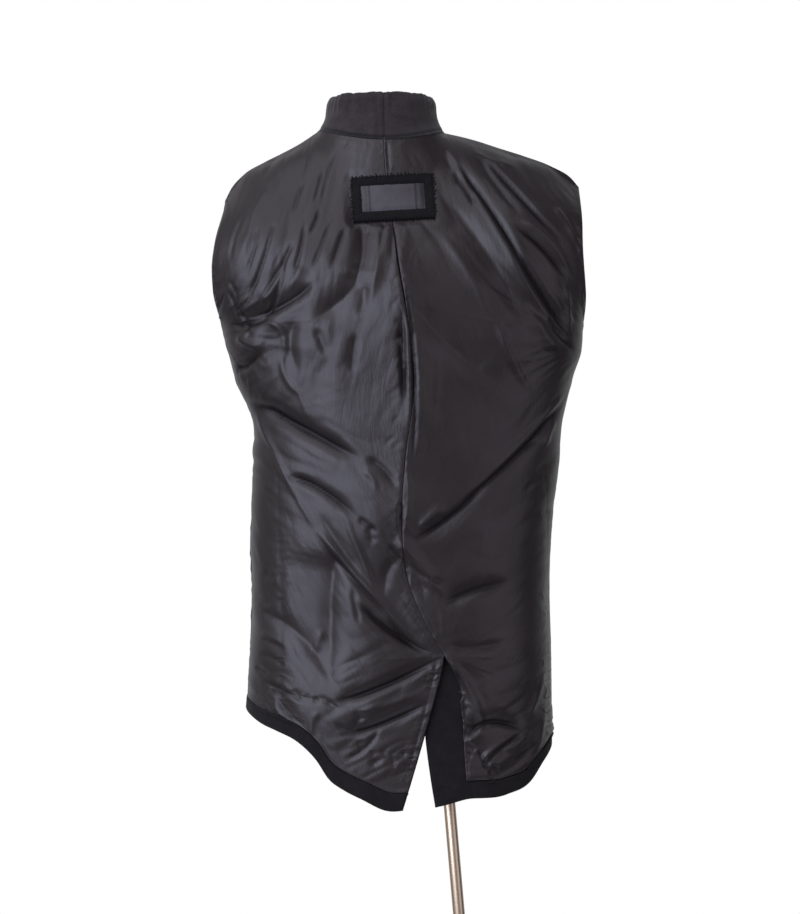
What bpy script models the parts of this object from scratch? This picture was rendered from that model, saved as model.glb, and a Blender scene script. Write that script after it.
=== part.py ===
"""An overcoat turned inside out, on a limbless dress form that stands on a leaning pole and a round base.

The lining is the outer face and the wool shell the inner one, and the sleeves hang down inside the body.
The form faces +Y, so the back of the coat faces -Y, and +X is the form's right. Metres, +Z up, with the
origin on the floor under the coat. A side is -1 or 1 for -X or +X, and a face is -1 or 1 for back or front.

Every panel is read from one surface. Its point at (u, v) lies on a fibre u of the way from the panel's
centre line to its side edge. v runs from 0 at the neck and shoulder seams to 1 at the foot of the armhole,
2 at the lining's lower edge and 3 at the hem. An inset draws the whole surface in, which gives each layer.
"""

import math

import bmesh
import bpy
import numpy as np

LEFT, RIGHT = -1, 1
BACK, FRONT = -1, 1

# Cloth: thickness of each layer, and the play between layers at an edge and away from it.
LINING = 0.0010
WOOL = 0.0020
FACING = 0.0014
SEAM = 0.0004
UNDER_EDGE = 0.0027
SLACK = 0.0045
TIP_SLACK = 1.9
EDGE_RAMP = 0.12
# Spans of (start, length), in shares of a panel's width or rows down it, over which one state eases to another.
NECK_HELD_DOWN = (0.0, 0.18)
NECK_HELD_OUT = (0.36, 0.20)
TIP_FREE_OUT = (0.60, 0.25)
TIP_FREE_DOWN = (0.30, 0.40)
FRONT_FREE_OUT = 0.15
VENT_FREE_OUT = (0.0, 0.30)
VENT_FREE_ABOVE = 0.02
FOLD_BELOW_EDGE = (0.02, 0.10)
FOLD_ABOVE_HEM = 0.08
FOLD_BESIDE_SEAM = 0.12
FOLD_SEAM_ENDS = 1.1
LEAN_OUT_DOWN = (0.0, 0.6)
PROUD = 0.0002

# Body outline at each height: superellipses of one squareness.
SQUARENESS = 2.6
BODY_COLUMNS = ("height", "left", "right", "back", "front")
BODY = (
    (0.550, -0.207, 0.203, 0.146, 0.140),
    (0.680, -0.207, 0.205, 0.144, 0.138),
    (0.770, -0.202, 0.204, 0.140, 0.136),
    (0.840, -0.199, 0.202, 0.136, 0.134),
    (0.910, -0.201, 0.204, 0.132, 0.132),
    (1.016, -0.197, 0.214, 0.128, 0.130),
    (1.070, -0.199, 0.219, 0.127, 0.131),
    (1.124, -0.222, 0.231, 0.127, 0.132),
    (1.165, -0.233, 0.243, 0.128, 0.133),
    (1.195, -0.241, 0.246, 0.128, 0.132),
    (1.240, -0.262, 0.258, 0.127, 0.128),
    (1.290, -0.268, 0.262, 0.124, 0.120),
    (1.340, -0.258, 0.257, 0.116, 0.108),
    (1.366, -0.240, 0.249, 0.110, 0.100),
    (1.384, -0.234, 0.242, 0.106, 0.095),
)

# Where the two back panels meet, and their edges below the head of the vent.
VENT_HEAD = 0.763
VENT_ROW = 1.6875
VENT_EDGE_STEP = 0.0012
UNDERLAP_SHARE = 0.16
CENTRE_BACK_COLUMNS = ("height", "seam")
CENTRE_BACK = (
    (0.763, 0.0560),
    (0.810, 0.0300),
    (0.860, 0.0100),
    (0.912, 0.0030),
    (1.016, 0.0065),
    (1.104, 0.0180),
    (1.165, 0.0150),
    (1.282, -0.0040),
    (1.432, -0.0170),
)
VENT_COLUMNS = ("height", "left panel", "right lining", "underlap")
VENT = (
    (0.559, 0.0013, 0.0840, 0.0460),
    (0.604, 0.0150, 0.0820, 0.0390),
    (0.656, 0.0300, 0.0790, 0.0325),
    (0.700, 0.0420, 0.0760, 0.0300),
    (0.735, 0.0510, 0.0675, 0.0330),
    (0.763, 0.0560, 0.0560, 0.0560),
)

# Front edges: how far each front passes the middle, and how far the outer one stands off the inner one.
FRONT_MIDDLE = 0.006
FRONT_LAP = 0.042
LAP_LIFT = 0.0094
LAP_FULL = 0.32
FACING_COLUMNS = 6
LAP_RAMP = 0.34
LAP_RAMP_TOP = 0.12
LAP_RAMP_DOWN = (0.0, 0.3)

# Hem height across each face, against x, and the depth of wool that shows below the lining.
HEM_COLUMNS = ("x", "back", "front")
HEM = (
    (-0.207, 0.683, 0.683),
    (-0.190, 0.672, 0.683),
    (-0.165, 0.662, 0.684),
    (-0.140, 0.651, 0.684),
    (-0.112, 0.629, 0.684),
    (-0.088, 0.602, 0.684),
    (-0.066, 0.589, 0.684),
    (-0.038, 0.577, 0.683),
    (0.000, 0.5625, 0.682),
    (0.045, 0.568, 0.680),
    (0.080, 0.576, 0.676),
    (0.137, 0.581, 0.666),
    (0.172, 0.598, 0.652),
    (0.190, 0.613, 0.638),
    (0.204, 0.627, 0.627),
)
HEM_LEVEL = 0.62
HEM_TURN = (2.045, 2.08, 3.0)
BAND_AT_CENTRE = 0.024
BAND_AT_SIDE = 0.017

# Neck seam, a ring whose height dips at the back and more at the front, and the shoulder seams beyond it.
NECK_SHARE = 0.42
NECK_X = -0.0210
NECK_WIDE = {LEFT: 0.0885, RIGHT: 0.0805}
NECK_DEEP = {BACK: 0.0720, FRONT: 0.0850}
NECK_HEIGHT = {BACK: 1.441, FRONT: 1.402}
FRONT_NECK_START = -math.pi / 5
NECK_STEP = math.pi / 10
SHOULDER_COLUMNS = ("share", "left x", "left height", "right x", "right height")
SHOULDER = (
    (0.00, -0.1095, 1.4600, 0.0595, 1.4575),
    (0.20, -0.1350, 1.4430, 0.0960, 1.4490),
    (0.40, -0.1600, 1.4295, 0.1320, 1.4375),
    (0.60, -0.1850, 1.4170, 0.1680, 1.4260),
    (0.80, -0.2110, 1.4010, 0.2050, 1.4120),
    (0.93, -0.2280, 1.3820, 0.2300, 1.3975),
    (1.00, -0.2360, 1.3660, 0.2415, 1.3840),
)

# Armholes: foot and head of each, and how far they reach back and forward of the side seam.
ARM_FOOT = {LEFT: 1.184, RIGHT: 1.196}
ARM_HEAD = {LEFT: 1.366, RIGHT: 1.384}
ARM_REACH = {BACK: 0.060, FRONT: 0.066}
ARM_TRIM = {"lining": 0.0, "shell": 0.0060}
ARM_FOOT_SOFT = (-0.04, 0.12)
ARM_DRAW = 4
ARM_TRIM_DRAW = 8
HEAD_TRIM = 0.06
HEAD_TRIM_DOWN = (0.0, 0.3)
SHOULDER_INSET = 0.5
SHOULDER_INSET_SPAN = (0.0, 0.35)
NECK_INSET = 0.9
FOOT_AT_CENTRE = 1.190
HEAD_AT_CENTRE = 1.375

# Folds that show on the back: start, bend and end, half width and height, over the plane of x and z.
FOLD_COLUMNS = ("x0", "z0", "x1", "z1", "x2", "z2", "half width", "height")
BACK_FOLDS = (
    (-0.223, 1.140, -0.146, 0.990, 0.032, 0.775, 0.036, 0.008),
    (-0.192, 1.092, -0.114, 1.055, 0.003, 0.977, 0.024, -0.002),
    (-0.200, 1.060, -0.110, 1.020, 0.000, 0.945, 0.026, 0.007),
    (-0.121, 1.243, -0.158, 1.226, -0.200, 1.200, 0.020, 0.007),
    (-0.121, 1.354, -0.130, 1.300, -0.142, 1.254, 0.020, 0.006),
    (-0.054, 1.328, -0.070, 1.280, -0.095, 1.215, 0.026, -0.002),
    (-0.030, 1.310, -0.038, 1.270, -0.046, 1.230, 0.018, 0.006),
    (0.058, 1.430, 0.130, 1.328, 0.216, 1.186, 0.022, 0.009),
    (0.094, 1.430, 0.160, 1.350, 0.222, 1.255, 0.016, 0.005),
    (0.234, 1.142, 0.130, 1.003, 0.020, 0.907, 0.030, 0.008),
    (0.052, 0.740, -0.010, 0.722, -0.090, 0.690, 0.022, 0.008),
    (0.050, 0.760, -0.015, 0.742, -0.078, 0.712, 0.014, -0.002),
    (-0.088, 0.886, -0.088, 0.820, -0.088, 0.750, 0.024, 0.005),
    (0.072, 0.745, 0.092, 0.700, 0.106, 0.665, 0.016, 0.006),
    (0.110, 0.690, 0.150, 0.680, 0.186, 0.690, 0.020, 0.006),
    (-0.185, 0.722, -0.130, 0.700, -0.095, 0.680, 0.020, 0.005),
)
FRONT_FOLDS = (
    (-0.200, 1.150, -0.130, 1.080, -0.060, 1.020, 0.028, 0.007),
    (0.205, 1.140, 0.150, 1.060, 0.110, 0.950, 0.028, 0.007),
    (-0.150, 1.340, -0.140, 1.260, -0.110, 1.180, 0.024, 0.006),
    (0.150, 1.350, 0.140, 1.270, 0.105, 1.190, 0.024, 0.006),
    (-0.120, 0.950, -0.130, 0.850, -0.110, 0.740, 0.030, 0.006),
    (0.120, 0.900, 0.135, 0.800, 0.120, 0.720, 0.030, 0.006),
)
FOLD_LOW = -0.0025
FOLD_HIGH = 0.012

# Sleeves: where the hanging part starts, the cuff, and the flattened section at each.
SLEEVE_START = 1.050
CUFF = 0.765
SLEEVE_FLAT = 0.0085
SLEEVE_FULL = 0.0130
SLEEVE_HALF_TOP = 0.068
SLEEVE_HALF_CUFF = 0.060
SLEEVE_OFF_WALL = 0.0055
SLEEVE_GAP = 0.0005
SLEEVE_WOOL = 0.0015

# Collar: the section rises from the neck seam, rolls over and falls again inside. It stands a little higher
# at the centre back and lower at the sides of the neck, which scales its rise above the first row.
COLLAR_WALL = 0.0024
COLLAR_END = 0.06
COLLAR_COLUMNS = ("rise", "drawn in")
COLLAR = (
    (0.0010, 0.0010),
    (0.0115, 0.0065),
    (0.0300, 0.0105),
    (0.0505, 0.0138),
    (0.0560, 0.0175),
    (0.0545, 0.0212),
    (0.0420, 0.0224),
    (0.0200, 0.0215),
)
COLLAR_AT_BACK = 1.16
COLLAR_AT_SIDE = {LEFT: 0.78, RIGHT: 0.85}

# Patch on the back below the collar: a wool frame round a plain satin label.
PATCH_X = -0.0090
PATCH_Z = 1.3610
PATCH_WIDE = 0.107
PATCH_TALL = 0.059
PATCH_BORDER = 0.0115
PATCH_TILT = math.radians(3.5)
PATCH_OFF = 0.0018
PATCH_WOOL = 0.0014
LABEL_WALL = 0.0010

# Stand: a rod that leans to -X, a turned foot, a socket under the form and a round plate.
LEAN = math.atan(0.0865)
FOOT_X = 0.1145
POLE_RADIUS = 0.008
POLE_TOP = 0.885
POLE_GAP = 0.0003
POLE_FOOT_GAP = 0.0012
BASE_RADIUS = 0.170
BASE_THICK = 0.008
BASE_BEVEL = 0.002
HUB_PROFILE = ((0.034, 0.0), (0.034, 0.004), (0.020, 0.010), (0.016, 0.030), (0.0135, 0.036))
SOCKET_RADIUS = 0.018
SOCKET_DEEP = 0.030
SOCKET_FLOOR = 0.006

# Dress form: ellipses along the leaning axis, from the foot of the torso to the top of the neck.
FORM_COLUMNS = ("height", "half width", "half depth", "forward")
FORM = (
    (0.892, 0.128, 0.090, 0.000),
    (0.930, 0.134, 0.097, 0.000),
    (1.030, 0.126, 0.090, 0.000),
    (1.120, 0.140, 0.099, 0.002),
    (1.220, 0.160, 0.107, 0.004),
    (1.300, 0.171, 0.094, 0.000),
    (1.350, 0.176, 0.074, -0.004),
    (1.380, 0.170, 0.058, -0.006),
    (1.398, 0.150, 0.048, -0.006),
    (1.412, 0.118, 0.044, -0.005),
    (1.422, 0.084, 0.044, -0.004),
    (1.436, 0.056, 0.046, -0.003),
    (1.452, 0.046, 0.046, -0.003),
    (1.480, 0.043, 0.044, -0.003),
)
FORM_SEGMENTS = 28
CAP_PROFILE = ((0.040, 0.0), (0.040, 0.004), (0.030, 0.008), (0.012, 0.010))


def ease(share):
    """0 up to a share of 0, 1 from a share of 1, and a smooth rise between them."""
    share = np.clip(share, 0.0, 1.0)
    return share * share * (3.0 - 2.0 * share)


def across(value, span):
    """Eased share of the way across a span of (start, length)."""
    start, length = span
    return ease((value - start) / length)


def read(table, at, column):
    """One column of a table at a value of its first column, by cubic pieces with no corner at a row."""
    rows = np.array(table)
    knots, values = rows[:, 0], rows[:, column]
    slopes = np.gradient(values, knots)
    at = np.clip(at, knots[0], knots[-1])
    low = np.clip(np.searchsorted(knots, at) - 1, 0, len(knots) - 2)
    step = knots[low + 1] - knots[low]
    share = (at - knots[low]) / step
    rest = 1.0 - share
    return (
        values[low] * rest * rest * (1.0 + 2.0 * share)
        + values[low + 1] * share * share * (3.0 - 2.0 * share)
        + slopes[low] * step * share * rest * rest
        - slopes[low + 1] * step * share * share * rest
    )


def section(face, z, inset):
    """Middle, half width and depth of the level outline at a height, drawn in by an inset."""
    left, right = read(BODY, z, 1), read(BODY, z, 2)
    deep = read(BODY, z, 3 if face == BACK else 4)
    return (left + right) / 2, (right - left) / 2 - inset, deep - inset


def outline(face, angle, z, inset):
    """x and y at an angle of the level outline: 0 is the middle of the face and 90 degrees is +X."""
    middle, wide, deep = section(face, z, inset)
    across, along = np.sin(angle), np.cos(angle)
    reach = (np.abs(across) ** SQUARENESS + np.abs(along) ** SQUARENESS) ** (-1.0 / SQUARENESS)
    return middle + wide * reach * across, face * deep * reach * along


def centre_line(side, face, z, piece):
    """x of a panel's centre edge at a height. A piece is "lining" or "shell"."""
    if face == FRONT:
        return FRONT_MIDDLE - side * FRONT_LAP + 0.0 * z
    seam = read(CENTRE_BACK, z, 1) + side * SEAM / 2
    if side == LEFT:
        edge = read(VENT, z, 1) - SEAM / 2 + (VENT_EDGE_STEP if piece == "shell" else 0.0)
    else:
        edge = read(VENT, z, 2 if piece == "lining" else 3) + SEAM / 2
    return np.where(z < VENT_HEAD, edge, seam)


def fibre_angle(side, face, u, z, inset, piece):
    """Angle of a fibre: an even share of the way from the centre edge to the side seam or the armhole."""
    middle, wide, deep = section(face, z, inset)
    start = np.arcsin((centre_line(side, face, z, piece) - middle) / wide)
    foot, head = ARM_FOOT[side] - ARM_TRIM[piece], ARM_HEAD[side] + ARM_TRIM[piece]
    rise = np.clip((2.0 * z - foot - head) / (head - foot), -1.0, 1.0)
    soft = across(z - foot, ARM_FOOT_SOFT)
    sharp = np.sqrt(1.0 - rise * rise) - soft
    hole = ARM_REACH[face] * (soft + sharp * u**ARM_DRAW)
    hole = hole + ARM_TRIM[piece] * np.sqrt(1.0 - rise * rise) * u**ARM_TRIM_DRAW
    return start + u * (side * np.arccos(hole / deep) - start)


def top_edge(side, face, u, inset=0.0):
    """Point where a fibre starts, on the neck seam or, past its share of the edge, on the shoulder seam."""
    start = FRONT_NECK_START if face == FRONT else 0.0
    turn = start + (math.pi / 2 - start) * np.minimum(u / NECK_SHARE, 1.0)
    level = np.cos(turn) * (u < NECK_SHARE)
    along = np.clip((u - NECK_SHARE) / (1.0 - NECK_SHARE), 0.0, 1.0)
    sideways = SHOULDER_INSET * inset * np.sin(turn) ** 2 * (1.0 - across(along, SHOULDER_INSET_SPAN))
    wide = np.where(turn < 0.0, NECK_WIDE[-side], NECK_WIDE[side]) - NECK_INSET * inset * level - sideways
    column = 1 if side == LEFT else 3
    shoulder_x, shoulder_z = read(SHOULDER, along, column), read(SHOULDER, along, column + 1)
    neck_z = shoulder_z + (NECK_HEIGHT[face] - shoulder_z) * np.cos(turn) ** 2
    on_neck = u < NECK_SHARE
    return (
        np.where(on_neck, NECK_X + side * (SEAM / 2 + wide * np.sin(turn)), shoulder_x - side * sideways),
        np.where(on_neck, face * (NECK_DEEP[face] - NECK_INSET * inset) * np.cos(turn), 0.0) + face * SEAM / 2,
        np.where(on_neck, neck_z, shoulder_z) - inset * (1.0 - SHOULDER_INSET * level),
    )


def foot_of_armhole(side, u, piece):
    """Height where the upper part of a fibre ends, level with the armhole's foot at the side."""
    return FOOT_AT_CENTRE + (ARM_FOOT[side] - ARM_TRIM[piece] - FOOT_AT_CENTRE) * u


def coat_point(side, face, u, z, inset, piece):
    """x and y of a fibre at a height: the body's outline, turned in to the neck or shoulder at the top."""
    top_x, top_y, top_z = top_edge(side, face, u, inset)
    drop = np.clip((top_z - z) / (top_z - foot_of_armhole(side, u, piece)), 0.0, 1.0)
    level = np.minimum(z, HEAD_AT_CENTRE + (ARM_HEAD[side] - HEAD_AT_CENTRE) * u)
    body_x, body_y = outline(face, fibre_angle(side, face, u, level, inset, piece), level, inset)
    middle = NECK_SHARE * FRONT_NECK_START / (FRONT_NECK_START - math.pi / 2) if face == FRONT else 0.0
    out = np.abs(u - middle) / (1.0 - middle)
    power = 1.0 - 0.5 * ease(out / 0.6)
    turn = np.sin(math.pi / 2 * np.clip(drop * (1.0 + 2.0 * out * out), 0.0, 1.0)) ** power
    return top_x + (body_x - top_x) * ease(1.8 * drop), top_y + (body_y - top_y) * turn


def height_of(side, face, u, v, inset, piece):
    """Height of the surface at (u, v), with rows drawn close to the armhole's head and foot beside it."""
    top = top_edge(side, face, u, inset)[2]
    foot = foot_of_armhole(side, u, piece)
    at_hem = coat_point(side, face, u, HEM_LEVEL + 0.0 * u, inset, piece)[0]
    hem = read(HEM, at_hem, 1 if face == BACK else 2)
    edge = hem + BAND_AT_CENTRE + (BAND_AT_SIDE - BAND_AT_CENTRE) * np.clip(u, 0.0, 1.0)
    upper = np.clip(v, 0.0, 1.0)
    upper = upper + (0.5 - 0.5 * np.cos(math.pi * upper) - upper) * ease(u)
    upper_z = top + (foot - top) * upper
    middle_z = foot + (VENT_HEAD - foot) * np.clip((v - 1.0) / (VENT_ROW - 1.0), 0.0, 1.0)
    lower_z = VENT_HEAD + (edge - VENT_HEAD) * np.clip((v - VENT_ROW) / (2.0 - VENT_ROW), 0.0, 1.0)
    lower_z = np.where(v <= VENT_ROW, middle_z, lower_z)
    band_z = edge + (hem - edge) * np.clip(v - 2.0, 0.0, 1.0)
    return np.where(v <= 1.0, upper_z, np.where(v <= 2.0, lower_z, band_z))


def fold_at(face, x, z):
    """Height of the folds: each is a soft ridge or trough along two straight runs, fading to its ends."""
    total = np.zeros_like(x)
    for x0, z0, x1, z1, x2, z2, half, height in BACK_FOLDS if face == BACK else FRONT_FOLDS:
        away = np.full_like(x, 1.0)
        share = np.zeros_like(x)
        for run, (ax, az, bx, bz) in enumerate(((x0, z0, x1, z1), (x1, z1, x2, z2))):
            dx, dz = bx - ax, bz - az
            along = np.clip(((x - ax) * dx + (z - az) * dz) / (dx * dx + dz * dz), 0.0, 1.0)
            gap = np.hypot(x - ax - along * dx, z - az - along * dz)
            share = np.where(gap < away, (run + along) / 2, share)
            away = np.minimum(away, gap)
        total += height * np.exp(-((away / half) ** 2)) * ease(4.0 * share) * ease(4.0 * (1.0 - share))
    return np.clip(total, FOLD_LOW, FOLD_HIGH)


def freedom(side, face, u, v):
    """How free a layer is to stand off its neighbour: 0 at a sewn or cut edge and 1 away from it."""
    near_neck = (1.0 - across(v, NECK_HELD_DOWN)) * (1.0 - across(u, NECK_HELD_OUT))
    near_tip = across(u, TIP_FREE_OUT) * (1.0 - across(v, TIP_FREE_DOWN))
    free = (1.0 - near_neck + TIP_SLACK * near_tip) * ease((2.0 - v) / EDGE_RAMP)
    if face == FRONT:
        free = free * across(u, (NECK_SHARE if side == LEFT else 0.0, FRONT_FREE_OUT))
    if face == BACK and side == LEFT:
        free = free * np.where(v > VENT_ROW - VENT_FREE_ABOVE, across(u, VENT_FREE_OUT), 1.0)
    return free


def stand_off(side, face, u, v):
    """How far a front stands out, where the outer one passes over the inner one, short of the shoulder."""
    if face == FRONT and side == LEFT:
        ramp = LAP_RAMP_TOP + (LAP_RAMP - LAP_RAMP_TOP) * across(v, LAP_RAMP_DOWN)
        return LAP_LIFT * (1.0 - ease((u - LAP_FULL) / ramp))
    return 0.0 * u


def layer(side, face, us, vs, piece, depth, fold=True):
    """Grid of points of one layer, at a depth below the outer face. Depth may vary over the grid."""
    u, v = np.meshgrid(us, vs, indexing="ij")
    if piece == "shell":
        u = u - HEAD_TRIM * (1.0 - across(v, HEAD_TRIM_DOWN)) * ease(2.0 * u - 1.0)
    inset = depth(u, v) - stand_off(side, face, u, v)
    z = height_of(side, face, u, v, inset, piece)
    x, y = coat_point(side, face, u, z, inset, piece)
    if fold:
        out_x, out_y = coat_point(side, face, u, z, inset - 0.001, piece)
        out = np.stack([out_x - x, out_y - y, 0.001 * (1.0 - across(v, LEAN_OUT_DOWN))], axis=-1)
        out /= np.linalg.norm(out, axis=-1, keepdims=True)
        high = fold_at(face, x, z) * across(v, FOLD_BELOW_EDGE) * ease((2.0 - v) / FOLD_ABOVE_HEM)
        high = high * np.where(v < FOLD_SEAM_ENDS, ease((1.0 - u) / FOLD_BESIDE_SEAM), 1.0)
        x, y, z = np.moveaxis(np.stack([x, y, z], axis=-1) + out * high[..., None], -1, 0)
    return np.stack([x, y, z], axis=-1)


def colour(name, rgb, roughness, metallic=0.0):
    """A plain finish, made once for each name."""
    if name in bpy.data.materials:
        return bpy.data.materials[name]
    material = bpy.data.materials.new(name)
    material.use_nodes = True
    shader = material.node_tree.nodes["Principled BSDF"]
    shader.inputs["Base Color"].default_value = (*rgb, 1.0)
    shader.inputs["Roughness"].default_value = roughness
    shader.inputs["Metallic"].default_value = metallic
    return material


def satin():
    return colour("black_satin", (0.028, 0.026, 0.032), 0.34)


def wool():
    return colour("black_wool", (0.014, 0.013, 0.016), 0.85)


def steel():
    return colour("brushed_steel", (0.62, 0.55, 0.48), 0.28, 1.0)


def add_object(name, mesh, material):
    """A named object for a finished mesh, its faces turned outwards and its round parts shaded smooth."""
    bm = bmesh.new()
    bm.from_mesh(mesh)
    bmesh.ops.recalc_face_normals(bm, faces=bm.faces)
    bm.to_mesh(mesh)
    bm.free()
    mesh.shade_smooth()
    mesh.set_sharp_from_angle(angle=math.radians(40))
    mesh.materials.append(material)
    thing = bpy.data.objects.new(name, mesh)
    bpy.context.scene.collection.objects.link(thing)
    return thing


def wall(name, outer, inner, material, closed=False):
    """A closed solid between two grids of the same size. A closed one joins its last column to its first."""
    columns, rows = outer.shape[:2]
    index = np.arange(columns * rows).reshape(columns, rows)
    inside = index + columns * rows
    if closed:
        index, inside = (np.concatenate([grid, grid[:1]]) for grid in (index, inside))
    faces = []

    def strip(first, second):
        for a, b, c, d in zip(first[:-1], first[1:], second[1:], second[:-1]):
            faces.extend(((a, b, c), (a, c, d)))

    for low in range(len(index) - 1):
        strip(index[low], index[low + 1])
        strip(inside[low], inside[low + 1])
    strip(inside[:, 0], index[:, 0])
    strip(index[:, -1], inside[:, -1])
    if not closed:
        strip(index[0], inside[0])
        strip(inside[-1], index[-1])
    mesh = bpy.data.meshes.new(name)
    points = np.concatenate([outer.reshape(-1, 3), inner.reshape(-1, 3)])
    mesh.from_pydata(points.tolist(), [], [[int(corner) for corner in face] for face in faces])
    return add_object(name, mesh, material)


def even(low, high, count):
    return np.linspace(low, high, count)


def side_name(side):
    return "left" if side == LEFT else "right"


def lining_depth(side, face, extra):
    """Depth of the lining: its outer face, which dips to the wool along the edge beside the underlap."""

    def depth(u, v):
        if face == BACK and side == RIGHT:
            dip = ease((2.0 - v) / EDGE_RAMP) * (1.0 - ease(u / UNDERLAP_SHARE))
            return extra + SLACK * dip * ease((v - VENT_ROW) / 0.06)
        return extra + 0.0 * u

    return depth


def shell_depth(side, face, extra):
    """Depth of the wool shell, and of its turned-up hem, which comes out flush with the lining."""

    def depth(u, v):
        under = UNDER_EDGE + SLACK * freedom(side, face, u, v)
        if extra:
            return under + extra
        band = (v > HEM_TURN[0]) * (1.0 if side == LEFT or face == FRONT else ease((u - UNDERLAP_SHARE) / 0.06))
        return under - (under + PROUD) * band

    return depth


def fibres(face, beyond):
    """Columns of a panel: one for each step round the neck seam, and some beyond it along the shoulder."""
    start = FRONT_NECK_START if face == FRONT else 0.0
    steps = round((math.pi / 2 - start) / NECK_STEP)
    return np.concatenate([even(0.0, NECK_SHARE, steps + 1), even(NECK_SHARE, 1.0 - SEAM, beyond + 1)[1:]])


def levels(upper, middle, lower):
    """Rows of a panel: down the armhole, then to the head of the vent, then to the lining's lower edge."""
    return np.concatenate(
        [even(0.0, 1.0, upper + 1), even(1.0, VENT_ROW, middle + 1)[1:], even(VENT_ROW, 2.0, lower + 1)[1:]]
    )


def make_back(side):
    """Back panel of lining and of wool. The right-hand wool has the underlap of the vent in one with it."""
    us, vs = fibres(BACK, 6), levels(8, 10, 5)
    outer = layer(side, BACK, us, vs, "lining", lining_depth(side, BACK, 0.0))
    inner = layer(side, BACK, us, vs, "lining", lining_depth(side, BACK, LINING))
    wall(f"lining_back_{side_name(side)}", outer, inner, satin())
    us, vs = fibres(BACK, 3), np.append(levels(8, 5, 5), HEM_TURN)
    outer = layer(side, BACK, us, vs, "shell", shell_depth(side, BACK, 0.0), fold=False)
    inner = layer(side, BACK, us, vs, "shell", shell_depth(side, BACK, WOOL), fold=False)
    wall(f"shell_back_{side_name(side)}", outer, inner, wool())


def make_front(side):
    """Front panel: lining from the side seam to the facing, the wool facing, and the wool shell."""
    us, vs = fibres(FRONT, 4), levels(8, 6, 2)
    for name, columns, thick, material in (
        ("facing", us[:FACING_COLUMNS], FACING, wool()),
        ("lining_front", np.append(us[FACING_COLUMNS - 1] + 0.002, us[FACING_COLUMNS:]), LINING, satin()),
    ):
        outer = layer(side, FRONT, columns, vs, "lining", lambda u, v: 0.0 * u)
        inner = layer(side, FRONT, columns, vs, "lining", lambda u, v, thick=thick: thick + 0.0 * u)
        wall(f"{name}_{side_name(side)}", outer, inner, material)
    vs = np.append(vs, HEM_TURN)
    outer = layer(side, FRONT, us, vs, "shell", shell_depth(side, FRONT, 0.0), fold=False)
    inner = layer(side, FRONT, us, vs, "shell", shell_depth(side, FRONT, WOOL), fold=False)
    wall(f"shell_front_{side_name(side)}", outer, inner, wool())


def grown(ring, sense, axis, distance):
    """A closed ring square to an axis, moved out by a distance. The sense is 1 or -1, for the way it turns."""
    out = sense * np.cross(np.roll(ring, -1, axis=0) - ring, np.eye(3)[axis])
    ahead = out / np.linalg.norm(out, axis=1, keepdims=True)
    behind = np.roll(ahead, 1, axis=0)
    return ring + distance * (ahead + behind) / (1.0 + np.sum(ahead * behind, axis=1, keepdims=True))


def sleeve_surface(side, rows, grow):
    """Rings of a sleeve, from the armhole, where it turns inwards, down to the cuff, grown by a thickness."""
    turn = np.radians(np.arange(0, 360, 22.5))
    foot, head = ARM_FOOT[side], ARM_HEAD[side]
    z = (foot + head) / 2 + (head - foot) / 2 * np.sin(turn)
    edge = np.where(
        np.cos(turn) < 0,
        coat_point(side, BACK, 1.0 + 0.0 * turn, z, 0.0, "lining"),
        coat_point(side, FRONT, 1.0 + 0.0 * turn, z, 0.0, "lining"),
    )
    hole = grown(np.stack([edge[0] - side * SLEEVE_GAP, edge[1], z], axis=-1), 1, 0, grow)

    def hanging(height):
        share = (SLEEVE_START - height) / (SLEEVE_START - CUFF)
        half = SLEEVE_HALF_TOP + (SLEEVE_HALF_CUFF - SLEEVE_HALF_TOP) * share
        flat = SLEEVE_FULL + (SLEEVE_FLAT - SLEEVE_FULL) * ease(2.0 * share)
        swell = np.sign(np.sin(turn)) * np.abs(np.sin(turn)) ** 0.7
        across = half * np.cos(turn)
        depth = UNDER_EDGE + SLACK + WOOL + SLEEVE_OFF_WALL + SLEEVE_WOOL + flat
        middle, wide, back = section(BACK, height, depth)
        deep = np.where(across < 0, back, section(FRONT, height, depth)[2])
        reach = (1.0 - np.abs(across / deep) ** SQUARENESS) ** (1.0 / SQUARENESS)
        x = middle + side * (wide * reach - flat * swell)
        return grown(np.stack([x, across, np.full_like(x, height)], axis=-1), side, 2, grow)

    rings = []
    first = hanging(SLEEVE_START)
    inward = 0.044 * np.array([-side, 0.0, 0.0])
    upward = (0.090 + 0.050 * np.sin(turn))[:, None] * np.array([0.0, 0.0, 1.0])
    for row in rows:
        if row <= 1.0:
            rest = 1.0 - row
            rings.append(
                hole * rest**3
                + (hole + inward) * 3 * row * rest**2
                + (first + upward) * 3 * row**2 * rest
                + first * row**3
            )
        else:
            rings.append(hanging(SLEEVE_START + (CUFF - SLEEVE_START) * (row - 1.0)))
    return np.stack(rings, axis=1)


def make_sleeve(side):
    """A sleeve inside the body: its lining is the inner tube, sewn to the armhole, and its wool the outer."""
    rows = np.array((0.0, 0.08, 0.22, 0.40, 0.60, 0.80, 1.0, 1.5, 2.0))
    lining_out, lining_in = -0.0009, -0.0019
    outer = sleeve_surface(side, rows, lining_out)
    inner = sleeve_surface(side, rows, lining_in)
    wall(f"sleeve_lining_{side_name(side)}", outer, inner, satin(), closed=True)
    outer = sleeve_surface(side, rows[1:], SLEEVE_WOOL - 0.0002)
    inner = sleeve_surface(side, rows[1:], -0.0002)
    wall(f"sleeve_shell_{side_name(side)}", outer, inner, wool(), closed=True)


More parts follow.
